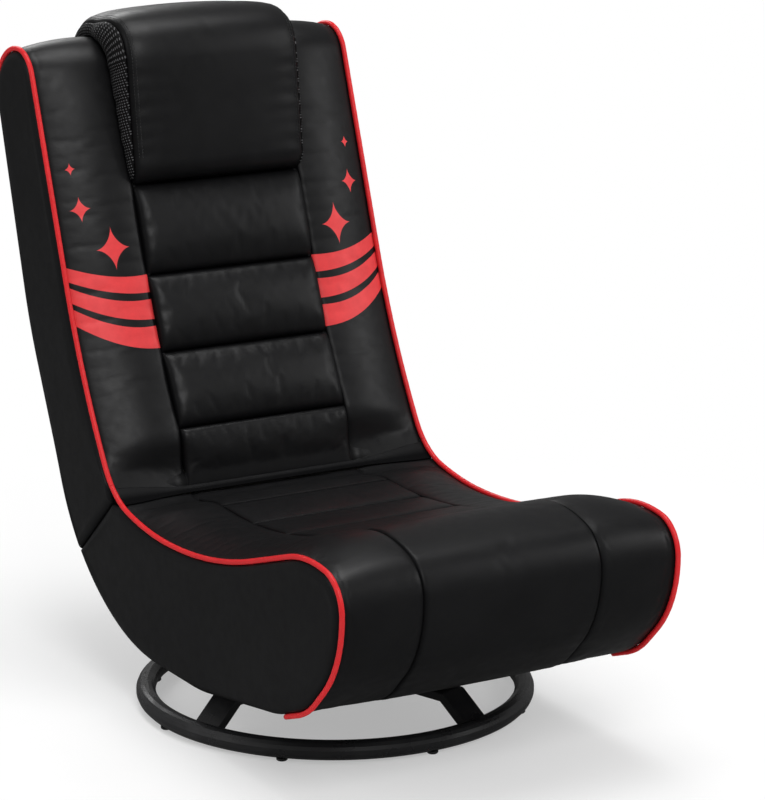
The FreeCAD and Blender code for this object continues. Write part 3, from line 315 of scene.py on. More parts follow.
def pad(name, s, x, h, material, side, seams, soft=True):
    """Closed pad: its top is raised by h over the outline, its underside lies under the cover, joined at the rims.
    side presses it off the crease: 1 on the back and -1 on the seat. A soft pad is marked as held near its seams,
    near the crease and underneath."""
    s2, x2 = np.broadcast_arrays(s[:, None], np.atleast_2d(x))
    top = skin(s2, x2, h)
    under_x = np.linspace(x2[:, -1], x2[:, 0], 7).T
    under_s = np.repeat(s[:, None], 7, axis=1)
    under = skin(under_s, under_x, -cover)
    if side:
        top = keep_clear(top, side, pad_clear)
        under = keep_clear(under, side, pad_clear + cover * 0.8)
    uv = np.stack([np.concatenate([x2, under_x], axis=1), np.concatenate([s2, under_s], axis=1)], axis=-1)
    # The seam mark gives painted shade along the top's seams; the underside gets none
    marks = {"seam": np.concatenate([seams, 0 * under_x], axis=1)}
    if soft:
        near = np.clip(1.8 - np.abs(s2) / 14.0, 0, 1)
        held = np.maximum(ease((seams - 0.12) / 0.4), near)
        marks["held"] = np.concatenate([held, 1 + 0 * under_x], axis=1)
    return tube_of(name, np.concatenate([top, under], axis=1), material, uv, marks)


def spots_of(mesh):
    """Vertex coordinates of a mesh in one row."""
    spots = np.empty(len(mesh.vertices) * 3)
    mesh.vertices.foreach_get("co", spots)
    return spots


def press_out(pieces, reach):
    """Cloth simulation: pressure inside swells the pieces between their held seams, without gravity, and slack
    cloth gathers there. All moves are then scaled alike, so that the largest is at most reach millimetres."""
    for thing in pieces:
        held = np.empty(len(thing.data.vertices), np.float32)
        thing.data.attributes["held"].data.foreach_get("value", held)
        group = thing.vertex_groups.new(name="held")
        steps = np.round(held, 1)
        for step in np.unique(steps):
            group.add(np.flatnonzero(steps == step).tolist(), float(step), "REPLACE")
        cloth = thing.modifiers.new("Cloth", "CLOTH")
        rules = cloth.settings
        rules.quality, rules.mass = cloth_quality, cloth_mass
        rules.use_pressure, rules.uniform_pressure_force = True, cloth_pressure
        rules.effector_weights.gravity = 0.0
        rules.vertex_group_mass = "held"
        rules.shrink_min = -cloth_slack
        cloth.point_cache.frame_start, cloth.point_cache.frame_end = 1, cloth_frames
    scene = bpy.context.scene
    for frame_number in range(1, cloth_frames + 1):
        scene.frame_set(frame_number)
    graph = bpy.context.evaluated_depsgraph_get()
    for thing in pieces:
        before, after = spots_of(thing.data), spots_of(thing.evaluated_get(graph).data)
        move = after - before
        far = np.linalg.norm(move.reshape(-1, 3), axis=1)
        if not np.isfinite(far).all():
            raise RuntimeError("cloth simulation failed on " + thing.name)
        thing.modifiers.clear()
        thing.vertex_groups.clear()
        thing.data.vertices.foreach_set("co", before + move * min(1.0, reach * MM / far.max()))
    scene.frame_set(1)
    for thing in pieces:
        thing.data.attributes.remove(thing.data.attributes["held"])
        thing.data.update()
    return pieces


def mirrored(thing, name):
    """The same piece on the other side: x changes sign and the faces are turned back outwards."""
    mesh = thing.data.copy()
    spots = spots_of(mesh)
    spots[0::3] *= -1
    mesh.vertices.foreach_set("co", spots)
    mesh.flip_normals()
    return show(name, mesh)


def settle(thing, body, *nodes, fill=None, slot=None):
    """The piece rides on a body and stands for the named nodes."""
    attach(thing, body)
    if nodes:
        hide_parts(*nodes)


def settle_pair(piece, body, node, **rest):
    """The piece and its mirror copy stand for the right and the left node."""
    twin = mirrored(piece, piece.name.replace("right", "left"))
    settle(piece, body, node + "_right", **rest)
    settle(twin, body, node + "_left", **rest)


# Materials

def shader(name, colour, roughness, metallic=0.0, **sockets):
    """Principled material with its even values set on its own sockets."""
    made = bpy.data.materials.new(name)
    made.use_nodes = True
    tree = made.node_tree
    tree.nodes.clear()
    even = {"Base Color": (*colour, 1), "Roughness": roughness, "Metallic": metallic, **sockets}
    body = add(tree, "BsdfPrincipled", [(key.replace("_", " "), value) for key, value in even.items()])
    add(tree, "OutputMaterial", [("Surface", body.outputs[0])])
    return made, tree, body


def add(tree, kind, links=(), **values):
    """Node with its settings, and its inputs linked or set by name."""
    node = tree.nodes.new("ShaderNode" + kind)
    for key, value in values.items():
        setattr(node, key, value)
    for key, source in links:
        if isinstance(source, (int, float, tuple)):
            node.inputs[key].default_value = source
        else:
            tree.links.new(source, node.inputs[key])
    return node


def noise(tree, spot, scale, detail=2.0):
    """Smooth noise of about 0.3 to 0.7."""
    return add(tree, "TexNoise", [("Vector", spot), ("Scale", scale), ("Detail", detail)]).outputs["Fac"]


def object_spot(tree):
    """Place in the piece's own frame, in metres."""
    return add(tree, "TexCoord").outputs["Object"]


def uv_spot(tree):
    """Place on the piece's own flat cloth, in metres."""
    return add(tree, "UVMap", uv_map="UVMap").outputs["UV"]


def spread_of(tree, value, low, high, out_low=0.0, out_high=1.0):
    """A value between low and high as one between out_low and out_high."""
    return add(tree, "MapRange", [("Value", value), ("From Min", low), ("From Max", high),
                                  ("To Min", out_low), ("To Max", out_high)]).outputs["Result"]


def scaled(colour, share, plus=0.0):
    """A paler or darker colour."""
    return tuple(min(1.0, c * share + plus) for c in colour)


def blend_colour(tree, share, first, second):
    """Colour between two colours or the colours of two nodes."""
    first, second = ((*value, 1) if isinstance(value, tuple) else value for value in (first, second))
    return add(tree, "Mix", [(0, share), (6, first), (7, second)], data_type="RGBA").outputs[2]


def blend_shader(tree, share, first, second):
    """Shader between those of two nodes."""
    return add(tree, "MixShader", [(0, share), (1, first.outputs[0]), (2, second.outputs[0])])


def glow(tree, kind, grey, strength):
    """Emission or background of an even grey."""
    return add(tree, kind, [("Color", (grey, grey, grey, 1.0)), ("Strength", strength)])


def dress(tree, body, tone, layers, rough=None):
    """Links a material's colour, roughness and height maps, which lie over one another: (height, distance in
    metres, strength)."""
    normal = None
    for height, distance, strength in layers:
        under = [] if normal is None else [("Normal", normal)]
        node = add(tree, "Bump", [("Height", height), ("Distance", distance), ("Strength", strength)] + under)
        normal = node.outputs["Normal"]
    for key, source in (("Base Color", tone), ("Roughness", rough), ("Normal", normal)):
        if source is not None:
            tree.links.new(source, body.inputs[key])


def sums(tree, kind, *values):
    """Result of a sum on values or node outputs."""
    return add(tree, "Math", list(enumerate(values)), operation=kind).outputs[0]


def print_mask(tree):
    """1 inside the bands and stars of a back bolster, from its UV map. Over the share v from the centre seam to
    the side seam, a band's edges run from their inner to their outer distance less sag times 4v(1-v). A star is
    where |a|^p + |b|^p is under 1, a and b being its offsets over its half sizes, and p under 1."""
    def calc(kind, *values):
        return sums(tree, kind, *values)

    def offset(value, middle, size):
        far = calc("ABSOLUTE", calc("SUBTRACT", value, middle))
        return calc("POWER", calc("DIVIDE", far, size / 2), star_power)

    spot = add(tree, "SeparateXYZ", [("Vector", uv_spot(tree))])
    across, along = (calc("MULTIPLY", spot.outputs[key], 1 / MM) for key in "XY")
    v = spread_of(tree, across, centre_half, half_width)
    bow = calc("MULTIPLY", calc("MULTIPLY", v, calc("SUBTRACT", 1.0, v)), 4.0)
    low_in, low_out = band_inner_start, band_outer_start
    shares = []
    for number in range(band_count):
        thick_in = band_inner_width - band_inner_taper * number
        thick_out = band_outer_width - band_outer_taper * number
        sagging = calc("MULTIPLY", bow, band_sag_taper * number - band_sag)
        edge = calc("ADD", calc("MULTIPLY_ADD", v, low_out - low_in, low_in), sagging)
        thick = calc("MULTIPLY_ADD", v, thick_out - thick_in, thick_in)
        above = calc("SUBTRACT", along, edge)
        inside = calc("MINIMUM", above, calc("SUBTRACT", thick, above))
        shares.append(spread_of(tree, inside, -print_blur, print_blur))
        low_in += thick_in + band_inner_gap
        low_out += thick_out + band_outer_gap
    for tall, wide, up, side in stars:
        size = calc("ADD", offset(along, up, tall), offset(across, side, wide))
        shares.append(spread_of(tree, size, 1.02, 0.98))
    whole = shares[0]
    for share in shares[1:]:
        whole = calc("MAXIMUM", whole, share)
    return whole


def coated_leather(name, colour, roughness, printed=None, sheen=0.24):
    """Coated cloth: fine pebble grain, slack wrinkles, painted shade along its seams as a darker colour and less
    sheen, rubbed a little paler in broad patches at random. printed is the colour of its pressed-on bands and
    stars."""
    made, tree, body = shader(name, colour, roughness, Specular_IOR_Level=sheen)
    spot = object_spot(tree)
    grain = add(tree, "TexVoronoi", [("Vector", spot), ("Scale", 900.0)]).outputs["Distance"]
    creases = noise(tree, spot, 75.0, 4.0)
    broad = noise(tree, spot, 14.0)
    seam = add(tree, "Attribute", attribute_name="seam").outputs["Fac"]
    tone = blend_colour(tree, spread_of(tree, broad, 0.35, 0.7), colour, scaled(colour, 1.12, 0.0008))
    # Painted shade: the colour darkens towards each seam by the seam mark
    tone = blend_colour(tree, spread_of(tree, seam, 0.2, 1.0, 0.0, 0.85), tone, scaled(colour, 0.6))
    if printed:
        worn = blend_colour(tree, spread_of(tree, creases, 0.3, 0.75), printed, scaled(printed, 0.86))
        tone = blend_colour(tree, print_mask(tree), tone, worn)
    # Painted shade: the sheen falls towards each seam by the seam mark
    tree.links.new(spread_of(tree, seam, 0.2, 1.0, sheen, sheen * 0.15), body.inputs["Specular IOR Level"])
    rough = spread_of(tree, creases, 0.3, 0.7, roughness - 0.04, roughness + 0.04)
    dress(tree, body, tone, [(broad, 0.0009, 0.12), (creases, 0.0004, 0.2), (grain, 0.00012, 0.4)], rough)
    return made


def woven_cloth(name, colour, pitch):
    """Plain weave: two crossed waves on the piece's own UV map, whose threads stand over and under, with
    painted shade darker between the threads.
    """
    made, tree, body = shader(name, colour, 0.85, Specular_IOR_Level=0.25, Sheen_Weight=0.25)
    links = [("Vector", uv_spot(tree)), ("Scale", texture_wave / pitch), ("Distortion", 0.6), ("Detail", 1.0),
             ("Detail Scale", 2.0)]
    waves = [add(tree, "TexWave", links, bands_direction=way).outputs["Fac"] for way in "XY"]
    weave = sums(tree, "MULTIPLY", *waves)
    soil = noise(tree, object_spot(tree), 22.0, 4.0)
    # Painted shade: the cloth darkens to half between the threads
    tone = blend_colour(tree, spread_of(tree, weave, 0.0, 0.9), scaled(colour, 0.5), colour)
    tone = blend_colour(tree, spread_of(tree, soil, 0.45, 0.8, 0.0, 0.5), tone, scaled(colour, 1.7, 0.004))
    dress(tree, body, tone, [(soil, 0.002, 0.3), (weave, 0.0003, 0.6)])
    return made


def spacer_mesh(name, colour, pitch):
    """Knitted mesh: rows of raised knots painted paler as painted glints, with the open loops between them
    painted dark as painted shade.
    """
    made, tree, body = shader(name, colour, 0.6, Specular_IOR_Level=0.15)
    cells = add(tree, "TexVoronoi", [("Vector", uv_spot(tree)), ("Scale", 1.0 / pitch), ("Randomness", 0.12)],
                voronoi_dimensions="2D")
    knot_and_glint = spread_of(tree, cells.outputs["Distance"], 0.16, 0.3, 1.0, 0.0)
    strands = noise(tree, object_spot(tree), 900.0)
    # Painted glints on the knots, and painted shade in the open loops between them
    tone = blend_colour(tree, knot_and_glint, scaled(colour, 0.15), scaled(colour, 3.0, 0.06))
    dress(tree, body, tone, [(strands, 0.0003, 0.4), (knot_and_glint, 0.0011, 0.8)])
    return made


def coated_metal(name, colour, roughness, metallic=0.0, peel=0.00006):
    """Paint or plating: slight orange peel, and roughness that varies with handling."""
    made, tree, body = shader(name, colour, roughness, metallic)
    spot = object_spot(tree)
    orange = noise(tree, spot, 420.0)
    smear = noise(tree, spot, 26.0, 5.0)
    rough = spread_of(tree, smear, 0.3, 0.75, max(0.05, roughness - 0.08), roughness + 0.12)
    tone = blend_colour(tree, spread_of(tree, smear, 0.5, 0.8), colour, scaled(colour, 1.25, 0.006))
    dress(tree, body, tone, [(orange, peel, 0.6)], rough)
    return made


def plywood(name):
    """Raw plywood with a drawn grain along X."""
    made, tree, body = shader(name, wood_pale, 0.7)
    long_way = add(tree, "Mapping", [("Vector", object_spot(tree)), ("Scale", (4.0, 60.0, 60.0))]).outputs[0]
    grain = noise(tree, long_way, 3.0, 6.0)
    tone = blend_colour(tree, spread_of(tree, grain, 0.35, 0.7), wood_pale, wood_dark)
    dress(tree, body, tone, [(grain, 0.0004, 0.4)])
    return made


def open_foam(name, colour):
    """Cut foam: open cells, with painted shade darkening their insides."""
    made, tree, body = shader(name, colour, 0.95)
    cells = add(tree, "TexVoronoi", [("Vector", object_spot(tree)), ("Scale", 420.0)]).outputs["Distance"]
    # Painted shade inside each open cell
    tone = blend_colour(tree, spread_of(tree, cells, 0.1, 0.8), scaled(colour, 0.72), colour)
    dress(tree, body, tone, [(cells, 0.001, 0.7)])
    return made


# Padded pieces

def seam_marks(grid, *distances):
    """Closeness to the nearest seam over a grid, 1 on it and fading over 5 mm: the mask of the leather's painted
    shade along its seams, and of where soft pads are held.
    """
    return np.exp(-np.minimum.reduce([np.abs(d) + 0 * grid for d in distances]) / seam_fade)


def spaced(count, share):
    """Steps from -1 to 1 that close up towards the ends: share sin(pi u / 2) + (1 - share) u."""
    u = np.linspace(-1, 1, count)
    return share * np.sin(u * np.pi / 2) + (1 - share) * u


def gathers(wave, distance, fade, start):
    """Gathers at a distance d from a seam: their height times the wave times e^(-d/fade) (1 - e^(-d/start))."""
    size = bpy.context.scene.chair_sizes.pucker / MM
    return size * wave * np.exp(-distance / fade) * (1 - np.exp(-distance / start))


def bolster_grid(s, forward):
    """Right bolster: a straight rise from the side seam to the centre seam, plus a bulge of 4v(1-v), turned in
    at both seams, with small puckers that fade from each seam."""
    v = np.linspace(0, 1, 38)
    v = v - 0.06 * np.sin(2 * np.pi * v)
    x = centre_half + seam_gap + (half_width - centre_half - seam_gap) * v
    reach = np.abs(s)[:, None]
    rise = seat_height(reach) if forward else back_height(reach)
    bulge = bolster_bulge * ease(rise / back_crown) + 1.0
    inner = (x - x[0])[None, :]
    outer = (x[-1] - x)[None, :]
    share = 0.5 if forward else 1.0
    h = rise * (1 - v) + 4 * bulge * v * (1 - v) + 0.5 * np.sin(s / 41.0)[:, None] * np.sin(np.pi * v)
    h = h - (1.2 if forward else 2.4) * np.exp(-(inner / 3.0) ** 1.4) - 0.7 * np.exp(-(outer / 4.0) ** 1.4)
    h = h + share * gathers(ripple(s, 1.3)[:, None], inner, 13, 4)
    h = h + 0.3 * share * gathers(ripple(s, 4.7)[:, None], outer, 15, 4)
    return x, h, seam_marks(h, inner, outer)


def make_bolsters(leather, printed):
    """Side bolsters of the back, with the print, and of the seat."""
    for body, side, reach, finish in (("back", 1, back_reach, printed), ("seat", -1, seat_reach, leather)):
        s = side * np.linspace(3.0, reach, int(reach / 3.2))
        x, h, seams = bolster_grid(s, side < 0)
        piece = pad(body + "_bolster_right_pad", s, x, h, finish, side, seams)
        press_out([piece], bolster_press)
        settle_pair(piece, body, body + "_bolster", fill=0.8, slot="black_leather")


def shoulder_of(x, half, turn):
    """1 over the middle, rounding to 0 at the side seams: sqrt(1 - t^2.4) over the last stretch."""
    t = np.clip((np.abs(x) - half + turn) / turn, 0, 1)
    return np.sqrt(np.maximum(1 - t ** 2.4, 0))


def channel_grid(s, start, end, height, depth, lift, seed):
    """Sewn channel: from depth under the cushion's height at its seams, its top swells to lift over it as
    (1 - |2v-1|^4)^0.65, with puckers along the seams."""
    v = (np.abs(s) - start) / (end - start)
    half = centre_half - seam_gap
    x = half * spaced(81, 0.35)
    swell = (1 - np.clip(np.abs(2 * v - 1), 0, 1) ** 4.0)[:, None] ** 0.65
    round_off = shoulder_of(x, half, 15.0)[None, :]
    top = height(np.abs(s))[:, None] - depth + (depth + lift) * swell * (0.42 + 0.58 * round_off)
    top = top + 0.3 * lift * swell * (1 - (x / half) ** 2)[None, :]
    share = min(1.0, 0.25 + lift / 10)
    low = (np.abs(s) - start)[:, None]
    high = (end - np.abs(s))[:, None]
    for gap, turn in ((low, seed), (high, seed + 2.2)):
        wave = ripple(x * 0.8 + 30 * seed, turn)[None, :]
        top = top + share * gathers(wave, np.abs(gap), 13, 4) * (0.4 + 0.6 * round_off)
    side = (half - np.abs(x))[None, :]
    top = top + 0.8 * share * gathers(ripple(s, seed + 1)[:, None], side, 16, 5)
    return x, top, seam_marks(top, low, high, side)


def channel_row(name, side, seams, count, seeds, leather, reach, *form):
    """Pads of one row between its cross seams; form is their height function, seam depth and lift."""
    pieces = []
    for i, seed in enumerate(seeds):
        start, end = seams[i] + seam_gap, seams[i + 1] - seam_gap
        s = side * np.linspace(start, end, count)
        x, h, marks = channel_grid(s, start, end, *form, seed)
        pieces.append(pad(name % (i + 1), s, x, h, leather, side, marks))
    return press_out(pieces, reach)


def make_channels(leather):
    """Four channels of the back, from the crease up to the pillow."""
    seams = [first_seam] + [first_channel + channel_length * i for i in range(3)] + [pillow_start]
    row = channel_row("back_channel_%d_pad", 1, seams, 36, (0.4, 2.1, 3.8, 5.5), leather, channel_press,
                      back_height, channel_depth, channel_lift)
    for i, piece in enumerate(row):
        settle(piece, "back", "back_channel_%d" % (i + 1), fill=0.7, slot="black_leather")


def make_ribs(leather):
    """Four flat ribs of the seat, which stand for one node."""
    seams = [first_seam] + [first_rib + rib_length * i for i in range(4)]
    row = channel_row("seat_rib_%d_pad", -1, seams, 30, (2.4, 3.5, 4.6, 5.7), leather, rib_press,
                      seat_height, rib_depth, rib_lift)
    for i, piece in enumerate(row):
        settle(piece, "seat", *(["seat_ribs"] if i == 0 else []), fill=0.6, slot="black_leather")


def make_end_panels(leather):
    """Smooth middle panels: over the front roll, and over the top of the back behind the pillow."""
    half = centre_half - seam_gap
    x = half * spaced(61, 0.35)
    side = (half - np.abs(x))[None, :]
    last_rib = first_rib + 3 * rib_length
    for body, name, start, reach in (("seat", "seat_front_panel", last_rib + seam_gap, seat_reach),
                                     ("back", "back_top_panel", pillow_start + seam_gap, back_reach)):
        s = np.linspace(start, reach, int((reach - start) / 3.4))
        past = (s - start)[:, None]
        h = (back_height(s) - 4.0)[:, None]
        if body == "seat":
            h = seat_height(s)[:, None] + 0.8 - rib_depth * np.exp(-past / 7.0)
            h = h + gathers(ripple(x * 0.7, 5.1)[None, :], past, 14, 4)
        h = h - 1.9 * (1 - shoulder_of(x, half, 6.0))[None, :] + 0.8 * (1 - (x / half) ** 2)[None, :]
        h = h + gathers(ripple(s, 3.3)[:, None], side, 18, 5)
        sign = -1 if body == "seat" else 1
        piece = pad(name + "_pad", sign * s, x, h, leather, 0, seam_marks(h, side, past))
        press_out([piece], end_press)
        settle(piece, body, name, fill=0.8, slot="black_leather")


def pillow_height(s):
    """Straight front face from the lower edge to the turn, eased over the arch, then a parabola to the rear."""
    turn = arch_start + 8.0
    past = s - pillow_start
    lip = 1 - np.clip(past / 20.0, 0, 1)
    rise = pillow_front_low + (pillow_front_high - pillow_front_low) * past / (turn - pillow_start)
    rise = rise - (pillow_front_low - pillow_lip) * (1 - np.sqrt(1 - lip ** 2))
    over = pillow_front_high + (pillow_top - pillow_front_high) * ease((s - turn) / (arch_peak - turn))
    down = pillow_top + (back_height(s) + 1.0 - pillow_top) * np.clip((s - arch_peak) / pillow_tail, 0, 1) ** 2
    return np.where(s < turn, rise, np.where(s < arch_peak, over, down))


def pillow_width(s):
    """Half width of the pillow at its edges: it flares with the height of its face over the outline."""
    return pillow_half + pillow_flare * ease((pillow_height(s) - pillow_lip) / 40.0)


def pillow_edge(s):
    """Height of the pillow's side edges: a shoulder below its middle, and no less than 0.45 of it."""
    top = pillow_height(s)
    return np.maximum(0.45 * top, top - pillow_shoulder)


def pillow_face(s, u):
    """Height over the pillow's width: edge + (top - edge)(1 - |u|^7)^0.45, plus a crown of 5(1 - u^2)."""
    edge = pillow_edge(s)
    return edge + (pillow_height(s) - edge) * np.maximum(1 - np.abs(u) ** 7, 0) ** 0.45 + 5.0 * (1 - u ** 2)


def make_pillow(leather):
    """Headrest pillow: cross loops of its face, straight side walls and floor."""
    s = np.concatenate([pillow_start + 0.6 + 14 * np.linspace(0, 1, 8) ** 1.6,
                        np.linspace(pillow_start + 18, arch_peak + pillow_tail, 74)])
    u = spaced(77, 0.45)
    half = pillow_width(s)[:, None]
    x = half * u
    side = half - np.abs(x)
    start = (s - s[0])[:, None]
    h = pillow_face(s[:, None], u[None, :])
    h = h + 1.2 * gathers(ripple(s, 2.2)[:, None], side, 20, 7)
    h = h + 1.2 * gathers(ripple(u * 72.0, 7.1)[None, :], start, 22, 7)
    base = (back_height(s) - 3.4)[:, None]
    wall = np.linspace(1, 0, 7)[None, 1:]
    right = base + (h[:, -1:] - base) * wall
    right_x = pillow_half + (half - pillow_half) * wall
    floor_x = np.linspace(1, -1, 9)[None, 1:-1] * pillow_half + 0 * half
    x2 = np.concatenate([x, right_x, floor_x, -right_x[:, ::-1]], axis=1)
    hs = np.concatenate([h, right, np.repeat(base, 7, axis=1), right[:, ::-1]], axis=1)
    s2 = np.repeat(s[:, None], x2.shape[1], axis=1)
    seams = seam_marks(h, side, start)
    below = np.zeros((len(s), x2.shape[1] - len(u)))
    # The seam mark gives painted shade along the pillow's edges; held pins the cloth near them
    marks = {"seam": np.concatenate([seams, below], axis=1),
             "held": np.concatenate([ease((seams - 0.25) / 0.4), below + 1], axis=1)}
    piece = tube_of("headrest_pillow_pad", skin(s2, x2, hs), leather, np.stack([x2, s2], axis=-1), marks)
    press_out([piece], pillow_press)
    settle(piece, "back", "headrest_pillow", fill=0.8, slot="black_leather")


def make_pillow_sides(mesh_cloth):
    """Mesh side of the pillow: a thin wall from the bolster up to the pillow's edge, blown out by
    mesh_swell times sin(pi r^0.8)^0.8 at the share r of its height."""
    s = np.linspace(pillow_start + 6, arch_peak + pillow_tail - 1, 84)
    base = (back_height(s) - 0.6)[:, None]
    rise = np.linspace(0, 1, 15)[None, :]
    tall = np.maximum(pillow_edge(s)[:, None] + 1.2 - base, 0.4)
    h = base + tall * rise
    slack = mesh_swell * np.sin(np.pi * rise ** 0.8) ** 0.8 * ease(tall / 36) * (1 + 0.12 * ripple(s, 3.9)[:, None])
    inner = pillow_half + 0.35 + (pillow_width(s)[:, None] - pillow_half) * rise
    outer = inner + mesh_thick + slack
    loops = np.concatenate([skin(s[:, None], outer, h), skin(s[:, None], inner, h)[:, ::-1]], axis=1)
    flat = np.concatenate([tall * rise, (tall * rise)[:, ::-1]], axis=1)
    uv = np.stack([flat, np.broadcast_to(s[:, None], flat.shape)], axis=-1)
    piece = tube_of("headrest_mesh_right_wall", loops, mesh_cloth, uv)
    settle_pair(piece, "back", "headrest_mesh", fill=0.5, slot="black_mesh")


# Side panels, foam and covers

def side_of(s, heading):
    """How far outline points stand past a plane through the apex, along its normal."""
    y, z, _ = place(s)
    way = heading_way(heading)
    return (y - apex[0]) * -way[1] + (z - apex[1]) * way[0]


def crossing(s, values):
    """First distance at which the values change sign."""
    i = int(np.argmax(values[1:] * values[:-1] <= 0))
    return float(s[i] + (s[i + 1] - s[i]) * values[i] / (values[i] - values[i + 1]))


probe = np.linspace(0.5, 90.0, 400)
back_lip_at = crossing(probe, side_of(probe, back_lip_heading))
seat_lip_at = -crossing(probe, side_of(-probe, seat_lip_heading))
probe = np.linspace(960.0, 1500.0, 1200)
cut_tip_at = crossing(probe, side_of(probe, -cut_fall))


def body_edge(side, gap, level, lip_drop):
    """Side polygon of the back or the seat: its outline, then along the cut, then up its lip of the crease. gap is
    its distance to both, level its height over the outline, and lip_drop that of its inner corner to the apex."""
    if side > 0:
        s = np.linspace(back_lip_at + gap, cut_tip_at - gap, 520)
    else:
        s = np.linspace(cut_tip_at + gap, whole_way + seat_lip_at - gap, 620)
    outer = skin(s, 0.0, level)[:, 1:]
    corner = apex + lip_drop * cut_way + side * gap * cut_up
    share = np.linspace(0, 1, 110)[:, None]
    lip_share = np.linspace(0, 1, 24)[1:-1, None]
    if side > 0:
        along = outer[-1] + (corner - outer[-1]) * share
        return np.concatenate([outer, along[1:], corner + (outer[0] - corner) * lip_share])
    along = corner + (outer[0] - corner) * share
    return np.concatenate([along[:-1], outer, outer[-1] + (corner - outer[-1]) * lip_share])


# Middle line of each body, from its underside to its far end, each end halfway between two outline points
spine_ends = {"back": ((70.0, 1120.0), (548.0, 790.0)), "seat": ((-50.0, 1440.0), (-500.0, -690.0))}
spines = {key: [np.mean([skin(d, 0.0, 0.0)[1:] for d in pair], axis=0) for pair in pairs]
          for key, pairs in spine_ends.items()}


def to_spine(edge, key):
    """Nearest point of the body's middle line to each edge point."""
    first, last = spines[key]
    way = last - first
    return first + np.clip((edge - first) @ way / (way @ way), 0, 1)[:, None] * way


def layered(name, key, edge, layers, material, swell=0.0, clear=0.0):
    """Closed slab over a side polygon: each layer is (inset, x), with the edge drawn in towards the middle line.
    swell is the height of slow waves on it, and clear keeps it that far behind the lip of the crease."""
    away = to_spine(edge, key) - edge
    length = np.linalg.norm(away, axis=1)[:, None]
    rows = []
    for inset, x in layers:
        yz = edge + away * np.minimum(inset / length, 1.0)
        x_row = np.full((len(edge), 1), float(x))
        if swell and inset > 14:
            x_row = x_row + swell * (np.sin(yz[:, :1] / 67.0 + 1.0) * np.sin(yz[:, 1:] / 83.0) - 0.4)
        rows.append(np.concatenate([x_row, yz], axis=1))
    loops = np.stack(rows)
    if clear:
        loops = keep_clear(loops, 1 if key == "back" else -1, clear)
    # Seam mark of the painted shade along the slab's edge, fading with the inset
    insets = np.array([inset for inset, _ in layers])[:, None]
    seams = np.exp(-insets / seam_fade) + 0 * loops[..., 0]
    return tube_of(name, loops, material, loops[..., 1:], {"seam": seams}, capped=False)


def make_side_panels(leather):
    """Side panels swell past their seam on a quarter ellipse, then run nearly flat with slow waves."""
    inner = half_width - panel_depth
    layers = [(to_middle, inner), (120.0, inner), (3.0, inner), (0.0, inner + 0.2), (0.0, half_width - 0.4)]
    for turn in np.linspace(0.08, 1, 9) * math.pi / 2:
        layers.append((panel_turn * (1 - math.cos(turn)), half_width + side_bulge * math.sin(turn)))
    layers += [(d, half_width + side_bulge + 0.2) for d in (17, 24, 32, 42, 54, 68, 84, 102, 122, to_middle)]
    for side, key in ((1, "back"), (-1, "seat")):
        piece = layered(key + "_side_right_panel", key, body_edge(side, 0.55, -0.9, 1.5), layers, leather, 0.9)
        settle_pair(piece, key, key + "_side_panel", fill=0.85, slot="black_leather")


def make_foam(foam):
    """Foam cores with rounded rims, under the covers."""
    rims = [(to_middle, foam_half), (60.0, foam_half), (6.0, foam_half), (1.6, foam_half - 0.5),
            (0.0, foam_half - 2.5), (0.0, foam_half - 60)]
    layers = [(inset, -x) for inset, x in rims] + rims[::-1]
    for side, key in ((1, "back"), (-1, "seat")):
        edge = body_edge(side, 2.6, -cover - 0.3, 6.0)
        piece = layered(key + "_foam_core", key, edge, layers, foam, clear=foam_clear)
        settle(piece, key, key + "_foam", fill=1.0, slot="foam")


def make_covers(leather):
    """Rear and underside covers: even sheets on the foam, drawn in between their raised edges."""
    x = cover_half * spaced(73, 0.3)
    edge = (cover_half - np.abs(x))[None, :]
    for key, start, end, name in (("back", back_reach + 0.3, cut_tip_at - 1.2, "back_rear_cover"),
                                  ("seat", cut_tip_at + 1.2, whole_way - seat_reach - 0.3, "seat_bottom_cover")):
        s = np.linspace(start, end, int((end - start) / 5.0))
        rim = np.minimum(s - start, end - s)[:, None]
        h = -2.0 + 2.0 * np.exp(-edge / 24) + 0.8 * np.exp(-rim / 14)
        h = h - 1.6 * np.exp(-edge / 3.5) - 1.4 * np.exp(-rim / 3.5)
        h = h + gathers(ripple(s, 2.9)[:, None], edge, 22, 6) + gathers(ripple(x * 0.6, 1.9)[None, :], rim, 22, 6)
        h = np.minimum(h, 0.0)
        piece = pad(name + "_cloth", s, x, h, leather, 0, seam_marks(h, edge, rim), soft=False)
        settle(piece, key, name, fill=0.9, slot="black_cloth")


def cut_point(along, up, x):
    """Points on a face of the cut, by distance along it from the hinge axis and height over it."""
    along, up, x = np.broadcast_arrays(along, up, x)
    y = pivot[0] + along * cut_way[0] + up * cut_up[0]
    z = pivot[1] + along * cut_way[1] + up * cut_up[1]
    return np.stack([x, y, z], axis=-1)


cut_length = float(np.linalg.norm(skin(cut_tip_at, 0.0, 0.0)[1:] - pivot))
zip_at = cut_length - zip_inset


def zip_teeth(key, side, teeth):
    """Two rows of small blocks that interlock along the middle of a zip."""
    row = np.arange(4 - zip_half, zip_half - 4, tooth_pitch)
    corner = np.array([(u, v, w) for u in (-1, 1) for v in (-1, 1) for w in (-1, 1)], float)
    spots = []
    for shift, lean in ((-1.1, 0.0), (1.1, 1.5)):
        centre = np.stack([zip_at + shift + 0 * row, 0.55 + 0 * row, row + lean], axis=-1)
        spots.append(centre[:, None, :] + corner[None] * np.array([1.35, 0.32, 0.62]))
    spots = np.concatenate(spots)
    verts = cut_point(spots[..., 0], side * spots[..., 1], spots[..., 2]).reshape(-1, 3)
    cube = np.array([(0, 1, 3, 2), (4, 6, 7, 5), (0, 4, 5, 1), (2, 3, 7, 6), (0, 2, 6, 4), (1, 5, 7, 3)])
    faces = (np.arange(len(spots))[:, None, None] * 8 + cube[None]).reshape(-1, 4).tolist()
    coil = add_mesh(key + "_zip_teeth", verts, faces, teeth, weld=0)
    settle(coil, key, slot="black_plastic")


